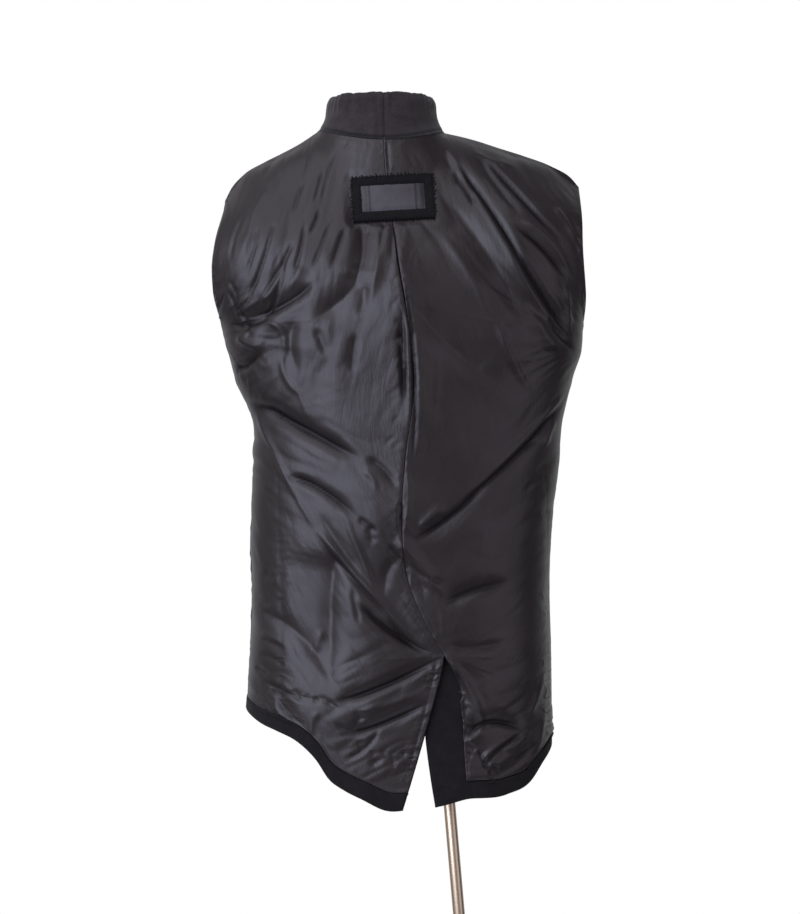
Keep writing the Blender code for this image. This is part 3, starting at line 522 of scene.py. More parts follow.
def eased(value, span):
    """Eased share of the way across a span of (start, length)."""
    start, length = span
    return ease((value - start) / length)


def section(face, z, inset):
    """Middle, half width and depth of the level outline at a height, drawn in by an inset."""
    left, right = read(BODY, z, 1), read(BODY, z, 2)
    deep = read(BODY, z, 3 if face == BACK else 4)
    return (left + right) / 2, (right - left) / 2 - inset, deep - inset


def outline(face, angle, z, inset):
    """x and y at an angle of the level outline, a superellipse. 0 is the face's middle and 90 degrees is
    +X."""
    middle, wide, deep = section(face, z, inset)
    across, along = np.sin(angle), np.cos(angle)
    reach = (np.abs(across) ** SQUARENESS + np.abs(along) ** SQUARENESS) ** (-1.0 / SQUARENESS)
    return middle + wide * reach * across, face * deep * reach * along


def centre_line(side, face, z, piece):
    """x of a panel's centre edge at a height. A piece is "lining" or "shell"."""
    if face == FRONT:
        return FRONT_MIDDLE - side * FRONT_LAP + 0.0 * z
    if side == LEFT:
        edge = read(VENT, z, 1) + (VENT_EDGE_STEP if piece == "shell" else 0.0)
    else:
        edge = read(VENT, z, 2 if piece == "lining" else 3)
    return np.where(z < VENT_HEAD, edge, read(CENTRE_BACK, z, 1))


def fibre_angle(side, face, u, z, inset, piece):
    """Angle of a fibre: an even share of the way from the centre edge to the side seam or the armhole."""
    middle, wide, deep = section(face, z, inset)
    start = np.arcsin((centre_line(side, face, z, piece) - middle) / wide)
    foot, head = ARM_FOOT[side] - ARM_TRIM[piece], ARM_HEAD[side] + ARM_TRIM[piece]
    rise = np.clip((2.0 * z - foot - head) / (head - foot), -1.0, 1.0)
    soft, bow = eased(z - foot, ARM_FOOT_SOFT), np.sqrt(1.0 - rise * rise)
    hole = ARM_REACH[face] * (soft + (bow - soft) * u**ARM_DRAW) + ARM_TRIM[piece] * bow * u**ARM_TRIM_DRAW
    return start + u * (side * np.arccos(hole / deep) - start)


def top_edge(side, face, u, inset=0.0):
    """Point where a fibre starts, on the neck seam or, past its share of the edge, on the shoulder seam."""
    start = FRONT_NECK_START if face == FRONT else 0.0
    turn = start + (math.pi / 2 - start) * np.minimum(u / NECK_SHARE, 1.0)
    level = np.cos(turn) * (u < NECK_SHARE)
    along = np.clip((u - NECK_SHARE) / (1.0 - NECK_SHARE), 0.0, 1.0)
    sideways = SHOULDER_INSET * inset * np.sin(turn) ** 2 * (1.0 - eased(along, SHOULDER_INSET_SPAN))
    wide = np.where(turn < 0.0, NECK_WIDE[-side], NECK_WIDE[side]) - NECK_INSET * inset * level - sideways
    column = 1 if side == LEFT else 3
    shoulder_x, shoulder_z = read(SHOULDER, along, column), read(SHOULDER, along, column + 1)
    neck_z = shoulder_z + (NECK_HEIGHT[face] - shoulder_z) * np.cos(turn) ** 2
    on_neck = u < NECK_SHARE
    return (
        np.where(on_neck, NECK_X + side * wide * np.sin(turn), shoulder_x - side * sideways),
        np.where(on_neck, face * (NECK_DEEP[face] - NECK_INSET * inset) * np.cos(turn), 0.0),
        np.where(on_neck, neck_z, shoulder_z) - inset * (1.0 - SHOULDER_INSET * level),
    )


def foot_of_armhole(side, u, piece):
    """Height where the upper part of a fibre ends, level with the armhole's foot at the side."""
    return FOOT_AT_CENTRE + (ARM_FOOT[side] - ARM_TRIM[piece] - FOOT_AT_CENTRE) * u


def coat_point(side, face, u, z, inset, piece):
    """x and y of a fibre at a height: the body's outline, turned in to the neck or shoulder at the top."""
    top_x, top_y, top_z = top_edge(side, face, u, inset)
    drop = np.clip((top_z - z) / (top_z - foot_of_armhole(side, u, piece)), 0.0, 1.0)
    level = np.minimum(z, HEAD_AT_CENTRE + (ARM_HEAD[side] - HEAD_AT_CENTRE) * u)
    body_x, body_y = outline(face, fibre_angle(side, face, u, level, inset, piece), level, inset)
    middle = NECK_SHARE * FRONT_NECK_START / (FRONT_NECK_START - math.pi / 2) if face == FRONT else 0.0
    out = np.abs(u - middle) / (1.0 - middle)
    power = 1.0 - 0.5 * eased(out, TURN_SHARP_OUT)
    turn = np.sin(math.pi / 2 * np.clip(drop * (1.0 + TURN_SOONER * out * out), 0.0, 1.0)) ** power
    return top_x + (body_x - top_x) * ease(WIDEN_SOONER * drop), top_y + (body_y - top_y) * turn


def height_of(side, face, u, v, inset, piece):
    """Height of the surface at (u, v), with rows drawn close to the armhole's head and foot beside it."""
    top = top_edge(side, face, u, inset)[2]
    foot = foot_of_armhole(side, u, piece)
    at_hem = coat_point(side, face, u, HEM_LEVEL + 0.0 * u, inset, piece)[0]
    hem = read(HEM, at_hem, 1 if face == BACK else 2)
    edge = hem + BAND_AT_CENTRE + (BAND_AT_SIDE - BAND_AT_CENTRE) * np.clip(u, 0.0, 1.0)
    upper = np.clip(v, 0.0, 1.0)
    upper = upper + (0.5 - 0.5 * np.cos(math.pi * upper) - upper) * ease(u)
    upper_z = top + (foot - top) * upper
    middle_z = foot + (VENT_HEAD - foot) * np.clip((v - 1.0) / (VENT_ROW - 1.0), 0.0, 1.0)
    lower_z = VENT_HEAD + (edge - VENT_HEAD) * np.clip((v - VENT_ROW) / (2.0 - VENT_ROW), 0.0, 1.0)
    lower_z = np.where(v <= VENT_ROW, middle_z, lower_z)
    band_z = edge + (hem - edge) * np.clip(v - 2.0, 0.0, 1.0)
    return np.where(v <= 1.0, upper_z, np.where(v <= 2.0, lower_z, band_z))


def freedom(side, face, u, v):
    """How free a layer is to stand off its neighbour: 0 at a sewn or cut edge and 1 away from it."""
    near_neck = (1.0 - eased(v, NECK_HELD_DOWN)) * (1.0 - eased(u, NECK_HELD_OUT))
    near_tip = eased(u, TIP_FREE_OUT) * (1.0 - eased(v, TIP_FREE_DOWN))
    free = (1.0 - near_neck + TIP_SLACK * near_tip) * ease((2.0 - v) / EDGE_RAMP)
    if face == FRONT:
        free = free * eased(u, (NECK_SHARE if side == LEFT else 0.0, FRONT_FREE_OUT))
    if face == BACK and side == LEFT:
        free = free * np.where(v > VENT_ROW - VENT_FREE_ABOVE, eased(u, VENT_FREE_OUT), 1.0)
    return free


def stand_off(side, face, u, v):
    """How far a front stands out, where the outer one passes over the inner one, short of the shoulder."""
    if face == FRONT and side == LEFT:
        climb = LAP_RAMP_TOP + (LAP_RAMP - LAP_RAMP_TOP) * eased(v, LAP_RAMP_DOWN)
        return LAP_LIFT * (1.0 - ease((u - LAP_FULL) / climb))
    return 0.0 * u


def bare_layer(side, face, us, vs, piece, depth):
    """u, v and the grid of points of one layer before it is creased, at a depth below the outer face."""
    u, v = np.meshgrid(us, vs, indexing="ij")
    at = u
    if piece == "shell":
        at = u - HEAD_TRIM * (1.0 - eased(v, HEAD_TRIM_DOWN)) * ease(2.0 * u - 1.0)
    inset = depth(u, v) - stand_off(side, face, at, v)
    z = height_of(side, face, at, v, inset, piece)
    x, y = coat_point(side, face, at, z, inset, piece)
    return u, v, np.stack([x, y, z], axis=-1)


def relaxed(grid, rounds, hold):
    """A grid eased towards the mean of its neighbours, again and again. Its outer edges and what is held
    stay."""
    grid = grid.copy()
    weight = 0.5 * (1.0 - hold)[1:-1, 1:-1, None]
    for _ in range(rounds):
        mean = (grid[:-2, 1:-1] + grid[2:, 1:-1] + grid[1:-1, :-2] + grid[1:-1, 2:]) / 4.0
        grid[1:-1, 1:-1] += weight * (mean - grid[1:-1, 1:-1])
    return grid


def normals(grid, sense):
    """Unit normals of a grid, the cross product of its steps along both ways. The sense turns them
    outwards."""
    out = sense * np.cross(np.gradient(grid, axis=0), np.gradient(grid, axis=1))
    return out / np.maximum(np.linalg.norm(out, axis=-1, keepdims=True), 1e-12)


LATTICE = (67, 71)
LATTICE_START = 300.0


def rumple(across, up, wide, tall, seed):
    """Uneven swell from -1 to 1: random heights on a lattice of wide by tall cells, joined by smooth pieces.
    The lattice repeats, and it starts far below 0 so that every place has cells."""
    lattice = np.random.default_rng(seed).uniform(-1.0, 1.0, LATTICE)
    a, b = across / wide + LATTICE_START, up / tall + LATTICE_START
    i, j = np.floor(a).astype(int), np.floor(b).astype(int)
    s, t = ease(a - i), ease(b - j)

    def at(column, row):
        return lattice[column % LATTICE[0], row % LATTICE[1]]

    low = at(i, j) * (1 - s) + at(i + 1, j) * s
    high = at(i, j + 1) * (1 - s) + at(i + 1, j + 1) * s
    return low * (1 - t) + high * t


# A crease is drawn in straight steps. END_FADE is how fast it dies out at its ends, CREST how round its crest
# is, and FALL its reach in half widths. A trough as deep as DARK_DEPTH gets painted shade as its slope rises
# over DARK_SLOPE. The core of painted shade fades out over CORE_EDGE, in units of a least width plus a share
# of the crease's own.
LINE_STEPS = 16
END_FADE = 3.4
CREST = 0.0012
FALL = 2.4
NEAR = 5.0
DARK_DEPTH = 0.0045
DARK_SLOPE = (0.45, 0.5)
CORE_LEAST, CORE_SHARE = 0.0009, 0.42
CORE_EDGE = (0.7, 0.7)


def crease_field(x, z, creases, spread=1.0):
    """Sum of creases, and from 0 to 1 how much painted shade each place gets for lying deep in a trough. A
    crease is a curve through a start, a bend and an end. Its height falls to 0 at FALL half widths from the
    curve, with a rounded crest, and to both ends, where it is half as wide. A skew above 0 widens it on the
    curve's left and narrows it on the right."""
    total, shade = np.zeros_like(x), np.zeros_like(x)
    share = np.linspace(0.0, 1.0, LINE_STEPS + 1)
    rest = 1.0 - share
    for x0, z0, x1, z1, x2, z2, width, height, skew in creases:
        line_x = rest * rest * x0 + share * rest * (4 * x1 - x0 - x2) + share * share * x2
        line_z = rest * rest * z0 + share * rest * (4 * z1 - z0 - z2) + share * share * z2
        width = width * spread
        reach = NEAR * width
        near = (x > line_x.min() - reach) & (x < line_x.max() + reach)
        near &= (z > line_z.min() - reach) & (z < line_z.max() + reach)
        at_x, at_z = x[near][:, None] - line_x[:-1], z[near][:, None] - line_z[:-1]
        if not at_x.size:
            continue
        dx, dz = np.diff(line_x), np.diff(line_z)
        along = np.clip((at_x * dx + at_z * dz) / (dx * dx + dz * dz), 0.0, 1.0)
        gap = np.hypot(at_x - along * dx, at_z - along * dz)
        best = gap.argmin(axis=1)
        row = np.arange(len(best))
        gap = gap[row, best]
        turn = np.sign(dx[best] * at_z[row, best] - dz[best] * at_x[row, best])
        where = (best + along[row, best]) / LINE_STEPS
        ends = ease(END_FADE * where) * ease(END_FADE * (1.0 - where))
        wide = width * (1.0 + skew * turn) * (0.5 + 0.5 * ends)
        fallen = (np.hypot(gap, CREST) - CREST) / (FALL * wide)
        total[near] += height * np.clip(1.0 - fallen, 0.0, 1.0) ** 2 * ends
        # Painted shade: the core of a steep trough is marked to be darkened in the satin's colour.
        if height < 0.0:
            steep = min(1.0, -height / DARK_DEPTH) * float(eased(-height / width, DARK_SLOPE))
            core = steep * (1.0 - eased(gap / (CORE_LEAST + CORE_SHARE * width), CORE_EDGE))
            shade[near] = np.maximum(shade[near], core * ends)
    return total, shade


def metres_across(grid, side):
    """UV in metres: the length along each row from the panel's centre edge, and the height."""
    steps = np.linalg.norm(np.diff(grid, axis=0), axis=-1)
    across = np.concatenate([np.zeros((1, grid.shape[1])), np.cumsum(steps, axis=0)])
    return np.stack([side * across, grid[..., 2]], axis=-1)


def side_name(side):
    return "left" if side == LEFT else "right"


def rows_between(*stops):
    """Rows from (value, number of steps to the next) pairs, ending with a single value."""
    runs = [np.linspace(a, b, n, endpoint=False) for (a, n), (b, _) in zip(stops, stops[1:])]
    return np.concatenate([*runs, [stops[-1][0]]])


def marked(tree, colour, mark, other):
    """A colour that turns to another one where a mark on the mesh is 1, and the mark itself."""
    deep = add_node(tree, "Attribute", {"attribute_name": mark}).outputs["Fac"]
    return add_node(tree, "Mix", {"data_type": "RGBA", 7: linear(other)}, _0=deep, _6=colour).outputs[2], deep


def melton(name, low, high, sheen):
    """Milled and brushed wool: matt, with a soft nap that catches a rim of light, an uneven black, and felted
    fibres 1 to 2 mm long, drawn about twice as thick as they are."""
    matt = {"Roughness": 0.92, "Specular_IOR_Level": 0.25, "Sheen_Weight": sheen, "Sheen_Roughness": 0.5}
    material, tree, shader = new_material(name, **matt)
    place = add_node(tree, "TexCoord").outputs["Object"]
    nap = add_node(tree, "Mapping", {"Scale": (1.0, 1.0, 0.35), "Rotation": (0.2, 0.1, 0.0)}, Vector=place)
    felt = noise(tree, nap, 900.0, 4.0, roughness=0.7)
    cloud = noise(tree, place, 60.0, 5.0, roughness=0.6)
    both = add_node(tree, "Math", {"operation": "MULTIPLY"}, _0=felt, _1=cloud)
    # Painted shade: where the mesh's shade mark is, the colour turns nearly black.
    dark, _ = marked(tree, ramp(tree, both, low, high, 0.10, 0.46), "shade", "#050404")
    swell = bump(tree, cloud, 0.3, 0.002, Normal=bump(tree, felt, 0.5, 0.0006))
    feed(tree, shader, Base_Color=dark, Normal=swell)
    return material


def shell_depth(side, face):
    """Depth of the wool below the coat's outer face. Its turned-up hem comes out flush with the lining."""

    def depth(u, v):
        under = UNDER_EDGE + SLACK * freedom(side, face, u, v)
        band = eased(v, HEM_TURN)
        if side == RIGHT and face == BACK:
            band = band * eased(u, UNDERLAP_OUT)
        return under - (under + PROUD) * band + HEM_ROLL * eased(v, HEM_ROLL_DOWN) ** 2

    return depth


SWELL = 0.0020
HANG_SHARE = 0.55


def drape(side, face, x, z):
    """Height of the folds both layers share: soft swells 40 to 90 mm across, longer down than across."""
    lean = x + 0.25 * side * (z - 1.0)
    seed = 20 + side + 4 * face
    return SWELL * (rumple(lean, z, 0.085, 0.300, seed) + 0.5 * rumple(lean, z, 0.042, 0.170, seed + 1))


FLOW_COLUMNS = ("x", "z", "run x", "run z", "reach", "deep")
FLOW = (
    (-0.150, 1.350, -0.25, -0.97, 0.080, 1.0),
    (-0.060, 1.280, -0.12, -0.99, 0.060, 0.9),
    (-0.190, 1.180, -0.90, -0.42, 0.050, 1.1),
    (-0.090, 1.150, -0.20, -0.98, 0.060, 1.0),
    (-0.020, 1.130, 0.40, 0.92, 0.045, 1.0),
    (-0.100, 1.020, 0.88, -0.47, 0.080, 1.0),
    (-0.060, 0.880, 0.66, -0.75, 0.080, 1.0),
    (-0.150, 0.850, 0.30, -0.95, 0.060, 0.9),
    (-0.140, 0.690, 0.62, -0.78, 0.050, 1.3),
    (-0.020, 0.680, 0.88, 0.47, 0.070, 1.1),
    (0.080, 1.370, 0.52, -0.85, 0.080, 0.8),
    (0.160, 1.270, 0.62, -0.78, 0.080, 0.9),
    (0.070, 1.130, 0.40, -0.92, 0.080, 0.5),
    (0.150, 1.080, 0.62, 0.78, 0.080, 0.6),
    (0.060, 0.940, 0.75, 0.66, 0.070, 0.5),
    (0.150, 0.880, 0.80, 0.60, 0.080, 0.5),
    (0.090, 0.780, 0.96, 0.28, 0.060, 0.6),
    (0.140, 0.660, 0.85, 0.53, 0.050, 1.2),
    (0.080, 0.690, 0.34, -0.94, 0.030, 1.0),
)
FOLDED_COLUMNS = ("across", "along", "height")
FOLDED = ((0.050, 0.150, 0.0034), (0.022, 0.070, 0.0019), (0.0100, 0.036, 0.0009))
FOLDED_MEAN = 0.35


def crumple(x, z, seed):
    """Height of the cloth's own small folds. Each is where a lattice noise crosses 0, so it has a sharp line
    and a flat fall on both sides. They run along the pull of the cloth, which the flow table gives by
    place."""
    total, weights = np.zeros_like(x), np.full_like(x, 1e-6)
    for row, (at_x, at_z, run_x, run_z, reach, deep) in enumerate(FLOW):
        weight = np.exp(-((x - at_x) ** 2 + (z - at_z) ** 2) / reach**2)
        along, across = x * run_x + z * run_z, x * run_z - z * run_x
        for step, (wide, tall, high) in enumerate(FOLDED):
            crossing = np.abs(rumple(across, along, wide, tall, seed + 3 * row + step)) - FOLDED_MEAN
            total += weight * deep * high * crossing
        weights += weight
    return total / weights


def hang_room(high, free):
    """How far the wool moves with a lining that moves by a height: it follows the troughs, not the ridges."""
    return np.minimum(high + HANG_SHARE * SLACK * free, 0.0)


# ---------------------------------------------------------------------------------------------------------
# Back lining. Two panels of thin black acetate satin, sewn down the middle and to the neck, shoulders,
# armholes and sides. It is cut longer than the wool, so it hangs in creases drawn to the armholes and the
# vent.

LINING = 0.0010
# Main creases of the back, in millimetres across and up: a start, a bend, an end, a half width, a height, a
# skew.
CREASE_COLUMNS = ("x0", "z0", "x1", "z1", "x2", "z2", "width", "height", "skew")
BACK_CREASES = (
    # Left shoulder: two wide folds over the blade, and the longest of the thin creases.
    (-170, 1380, -185, 1355, -200, 1325, 9, 1.8, 0.3),
    (-180, 1225, -170, 1235, -145, 1270, 8, 2.2, 0),
    (-130, 1270, -135, 1255, -150, 1230, 7, 2.0, 0),
    (-125, 1335, -130, 1290, -145, 1245, 1.9, -2.4, 0.2),
    (-140, 1305, -155, 1270, -190, 1215, 2, -2.4, 0.2),
    (-70, 1320, -80, 1295, -90, 1260, 3.2, -2.9, 0.2),
    # Fold over the foot of the left armhole, the puff under it and the hollow below the puff.
    (-110, 1250, -150, 1220, -215, 1195, 7.5, -5.6, -0.3),
    (-225, 1198, -200, 1193, -170, 1203, 3.4, -3.6, 0),
    (-215, 1185, -200, 1170, -170, 1165, 11, 5.2, 0.4),
    (-220, 1145, -205, 1140, -180, 1160, 3.6, -3.6, 0),
    (-220, 1133, -208, 1136, -195, 1141, 3, -2.2, 0),
    (-180, 1195, -155, 1185, -153, 1145, 2.8, 2.6, 0),
    (-155, 1160, -150, 1125, -125, 1100, 2.8, 2.6, 0),
    (-135, 1110, -125, 1090, -115, 1060, 2.6, 1.4, 0),
    (-130, 1205, -145, 1170, -130, 1125, 9.5, -4.2, -0.3),
    (-112, 1188, -102, 1170, -96, 1148, 4.6, -3.0, 0.3),
    (-55, 1185, -60, 1155, -62, 1125, 4, -3.0, 0),
    # Trough that falls from the patch, and the swell that it ends in.
    (-55, 1335, -48, 1290, -60, 1245, 10.5, -6.6, 0.2),
    (-55, 1265, -70, 1230, -120, 1195, 17, -7.2, 0.3),
    (-48, 1245, -47, 1225, -55, 1200, 5, -2.6, 0),
    (-30, 1325, -30, 1275, -42, 1210, 7, 3.2, -0.2),
    (-10, 1330, -9, 1300, -10, 1265, 4, -1.8, 0),
    (-20, 1318, -25, 1298, -30, 1273, 3, -1.4, 0),
    # Along the middle seam: a ridge with a groove on each side of it.
    (3, 1215, 4, 1160, 4, 1090, 2.6, -2.6, 0),
    (5, 1225, 12, 1150, 12, 1040, 3.2, 2.6, 0),
    (6, 1245, 16, 1170, 18, 1100, 3.6, -3.4, 0),
    (17, 1145, 19, 1080, 14, 1005, 3.6, -3.2, 0),
    (8, 1005, 12, 965, 4, 920, 2.6, 1.8, 0),
    (1, 965, 1, 943, 1, 920, 2.4, -2.2, 0),
    # Diagonals from the left side to the head of the vent.
    (-210, 1097, -127, 1057, -40, 1010, 8.5, -9.6, 0),
    (-47, 1020, -21, 1003, -3, 975, 4.6, -3.4, 0),
    (-49, 1003, -36, 993, -29, 972, 2.6, 1.6, 0),
    (-195, 1085, -170, 1035, -135, 972, 3, 2.8, 0),
    (-160, 1015, -132, 962, -101, 915, 2.6, 3.0, 0),
    (-148, 993, -130, 956, -101, 917, 2.6, -1.8, 0),
    (-150, 995, -101, 977, -47, 933, 6, -6.0, 0.2),
    (-55, 941, -42, 932, -27, 920, 2.6, -2.4, 0),
    (-115, 925, -62, 863, 3, 795, 2.8, -3.4, -0.1),
    (-115, 936, -65, 876, -10, 816, 3, 2.6, 0.2),
    (-18, 820, 10, 782, 55, 762, 2.6, -2.8, 0),
    (-105, 950, -80, 907, -40, 847, 5, -2.6, 0.4),
    (-75, 950, -55, 902, -26, 832, 3, 2.2, 0.3),
    (-42, 930, -37, 920, -36, 904, 4, -2.0, 0),
    (-57, 835, -18, 798, 42, 762, 6.4, -6.0, 0.1),
    (-14, 907, -5, 894, 8, 882, 2.4, -2.6, 0),
    (4, 902, 8, 881, 9, 855, 2.4, -1.8, 0),
    (-21, 835, -16, 871, 0, 889, 5, -2.4, 0),
    (0, 886, 23, 868, 31, 829, 5, -2.0, 0),
    # Low on the left: the wide hollow, then the bands that cross it.
    (-82, 897, -91, 835, -91, 704, 28, -10.0, -0.5),
    (-195, 820, -135, 788, -91, 733, 8.5, -4.6, 0.2),
    (-165, 712, -140, 676, -96, 621, 4, -3.2, 0.2),
    (-166, 704, -156, 684, -140, 663, 4, 2.6, 0),
    (-184, 725, -153, 715, -117, 698, 2.6, -2.0, 0),
    (-114, 650, -114, 676, -101, 691, 2.8, 1.8, 0),
    (-88, 680, -65, 668, -49, 694, 3, -2.0, 0),
    (-114, 760, -109, 782, -99, 795, 4, 1.6, 0),
    (-62, 855, -57, 826, -52, 803, 3, -2.0, 0),
    (-187, 788, -169, 782, -143, 769, 3, 1.6, 0),
    # Drawn to the head of the vent from below.
    (-91, 702, -23, 723, 60, 764, 5.8, -5.8, 0.2),
    (-81, 658, -21, 676, 44, 706, 5.2, -5.0, 0.2),
    (-65, 689, -10, 702, 42, 725, 10, 3.0, 0),
    (-75, 628, -44, 645, -25, 675, 2.6, -2.2, 0),
    (-40, 619, -31, 626, -23, 630, 3.4, -2.4, 0),
    # Long folds from the neck to the right armhole.
    (55, 1437, 99, 1369, 182, 1221, 6.5, 3.4, 0.3),
    (130, 1312, 169, 1239, 216, 1180, 5, 2.6, 0.2),
    (73, 1411, 119, 1346, 169, 1258, 4.2, -7.6, 0),
    (145, 1302, 184, 1237, 229, 1172, 4, -6.8, 0),
    (73, 1398, 86, 1375, 100, 1351, 2.8, -2.4, 0),
    (122, 1416, 156, 1375, 216, 1307, 3.2, 3.4, 0),
    (117, 1416, 158, 1364, 213, 1302, 4, -4.0, 0.3),
    (156, 1328, 190, 1310, 229, 1255, 3.4, 3.6, 0),
    (148, 1325, 187, 1294, 223, 1250, 3.8, -5.0, 0.3),
    (104, 1419, 122, 1390, 161, 1333, 4, -1.8, 0.3),
    (203, 1351, 216, 1336, 235, 1304, 3, 2.6, 0),
    (96, 1432, 122, 1416, 156, 1408, 4, 2.0, 0),
    (52, 1367, 112, 1291, 174, 1169, 13, -6.2, -0.2),
    (5, 1234, 60, 1170, 138, 1110, 16, -5.6, 0.3),
    (42, 1320, 81, 1273, 117, 1203, 8, 2.4, 0.3),
    (126, 1203, 143, 1156, 177, 1094, 3, 2.6, -0.3),
    (49, 1154, 49, 1117, 45, 1078, 2.4, 1.2, 0),
    (192, 1208, 205, 1191, 221, 1176, 2.6, -3.0, 0),
    (195, 1194, 210, 1178, 231, 1159, 2.6, -3.0, 0),
    (175, 1208, 190, 1180, 213, 1156, 7, 4.0, 0),
    (216, 1247, 222, 1219, 222, 1182, 3, 2.6, 0),
    # Diagonal from the right armhole to the middle, and the folds under its foot.
    (223, 1112, 169, 1050, 91, 972, 2.8, 3.4, 0),
    (218, 1099, 161, 1029, 73, 954, 5.8, -4.6, 0.3),
    (117, 990, 70, 946, 10, 906, 6.4, -5.2, 0.3),
    (208, 1071, 197, 1052, 191, 1032, 3, 3.0, 0),
    (23, 925, 39, 943, 60, 959, 5, 3.4, 0),
    (-3, 920, 18, 884, 62, 837, 8, 6.4, 0),
    (5, 904, 29, 868, 68, 858, 3.4, -2.6, 0),
    (50, 824, 94, 845, 148, 857, 8.5, -6.2, 0.2),
    (104, 886, 109, 912, 106, 938, 14, 1.2, 0),
    # Beside the vent and above the hem, right.
    (61, 777, 96, 772, 145, 782, 5.5, -3.4, 0.2),
    (61, 762, 91, 717, 109, 668, 5, 5.6, 0),
    (68, 751, 78, 715, 88, 671, 4.8, -3.6, 0),
    (109, 676, 99, 658, 83, 652, 5, 3.0, 0),
    (83, 650, 117, 676, 169, 660, 6.4, -5.6, 0.3),
    (104, 621, 122, 642, 156, 663, 3, 3.0, 0),
    (109, 616, 130, 639, 164, 658, 3, -3.2, 0),
    (119, 608, 148, 621, 182, 650, 5.4, -4.2, 0),
    (134, 637, 151, 647, 169, 663, 3.4, 2.2, 0),
    (177, 632, 184, 658, 192, 684, 4, 2.6, 0),
    (169, 678, 182, 704, 192, 736, 4, 2.4, 0),
)
# Small creases in runs: how many, the line they start on, how far each goes over and down, and a seed.
RUN_COLUMNS = ("count", "x0", "z0", "x1", "z1", "over", "down", "width", "height", "seed")
CREASE_RUNS = (
    # Thin creases of the left shoulder in two ranks, and of the armhole under them.
    (6, -0.075, 1.405, -0.215, 1.335, -0.016, -0.062, 0.0015, -0.0014, 611),
    (7, -0.085, 1.330, -0.222, 1.275, -0.026, -0.070, 0.0017, -0.0018, 632),
    (4, -0.232, 1.245, -0.205, 1.225, 0.012, -0.036, 0.0016, -0.0018, 613),
    # Gathers under the patch and beside it.
    (7, -0.062, 1.331, -0.003, 1.332, -0.001, -0.014, 0.0016, -0.0013, 614),
    (2, -0.061, 1.376, -0.061, 1.355, -0.013, -0.015, 0.0017, -0.0012, 615),
    # Short creases drawn down to the left from the middle seam.
    (12, 0.004, 1.265, 0.002, 1.030, -0.015, -0.013, 0.0021, -0.0006, 616),
    # Small folds of the left side and above the hem.
    (7, -0.193, 0.875, -0.185, 0.700, 0.026, -0.010, 0.0030, -0.0021, 617),
    (6, -0.150, 0.722, -0.062, 0.690, 0.014, -0.010, 0.0030, -0.0016, 618),
    (5, -0.058, 0.652, 0.010, 0.640, 0.004, -0.016, 0.0030, -0.0020, 619),
    # Right: beside the neck, on the side, and above the hem.
    (3, 0.057, 1.425, 0.085, 1.390, 0.009, -0.035, 0.0030, -0.0014, 620),
    (4, 0.165, 1.045, 0.180, 0.930, 0.022, 0.014, 0.0030, -0.0018, 621),
    (6, 0.084, 0.650, 0.128, 0.618, 0.006, -0.018, 0.0030, -0.0026, 622),
)


def in_metres(creases):
    """Rows of a table of creases with all but the skew turned to metres."""
    return [(*(0.001 * value for value in row[:8]), row[8]) for row in creases]


def back_creases():
    """Rows in metres for the main creases and for the small ones of CREASE_RUNS, which are uneven in place,
    length, bend, width and depth."""
    rows = in_metres(BACK_CREASES)
    for count, x0, z0, x1, z1, over, down, width, height, seed in CREASE_RUNS:
        draw = np.random.default_rng(seed)
        for number in range(count):
            share = (number + draw.uniform(0.15, 0.85)) / count
            long, bow = draw.uniform(0.45, 1.55), draw.uniform(-0.14, 0.14)
            early = draw.uniform(-0.6, 0.6)
            x, z = x0 + (x1 - x0) * share + early * over, z0 + (z1 - z0) * share + early * down
            middle = (x + long * (0.5 * over - bow * down), z + long * (0.5 * down + bow * over))
            end = (x + long * over, z + long * down)
            size = (width * draw.uniform(0.85, 1.2), height * draw.uniform(0.6, 1.25))
            rows.append((x, z, *middle, *end, *size, 0.0))
    return rows


# The seam that gathers the lining on each side of the back.
GATHER_COLUMNS = ("height", "left", "right")
GATHER = (
    (0.633, -0.1510, 0.1990),
    (0.700, -0.1550, 0.1985),
    (0.850, -0.1580, 0.1970),
    (0.993, -0.1600, 0.1920),
    (1.020, -0.1605, 0.1880),
)
# Places the cloth is held at, and the folds that run out from each.
HELD_COLUMNS = ("x", "z", "reach", "height", "seed")
HELD = (
    (-0.243, 1.192, 0.150, 0.0013, 181),
    (0.248, 1.172, 0.150, 0.0013, 184),
    (0.056, 0.763, 0.090, 0.0008, 187),
    (-0.200, 1.070, 0.100, 0.0009, 190),
)
# Gathers of each sewn edge. Where an edge is on both sides, the side is added to its seed.
SEWN_COLUMNS = ("period", "height", "reach", "seed")
SEWN = {
    "middle left": (0.0085, 0.0018, 0.011, 71),
    "vent left": (0.0085, 0.0028, 0.010, 73),
    "middle right": (0.0090, 0.0012, 0.007, 75),
    "vent right": (0.0130, 0.0030, 0.011, 77),
    "gathered seam": (0.0110, 0.0017, 0.010, 80),
    "hem": (0.0105, 0.0021, 0.014, 83),
    "neck": (0.0095, 0.0022, 0.012, 86),
    "armhole": (0.0135, 0.0026, 0.014, 89),
    "front hem": (0.0120, 0.0030, 0.016, 101),
    "front side": (0.0125, 0.0028, 0.014, 104),
    "facing": (0.0110, 0.0018, 0.009, 107),
}
GATHER_SHARP, PULLED_SHARP = 0.22, 0.25
RIDGE_MEAN = 0.45
# Metres for one unit of u beside the armhole and across a front, and of v below the neck and above each hem.
SIDE_METRES, FRONT_METRES, NECK_METRES, LOWER_METRES, FRONT_LOWER_METRES = 0.25, 0.26, 0.25, 0.43, 0.30
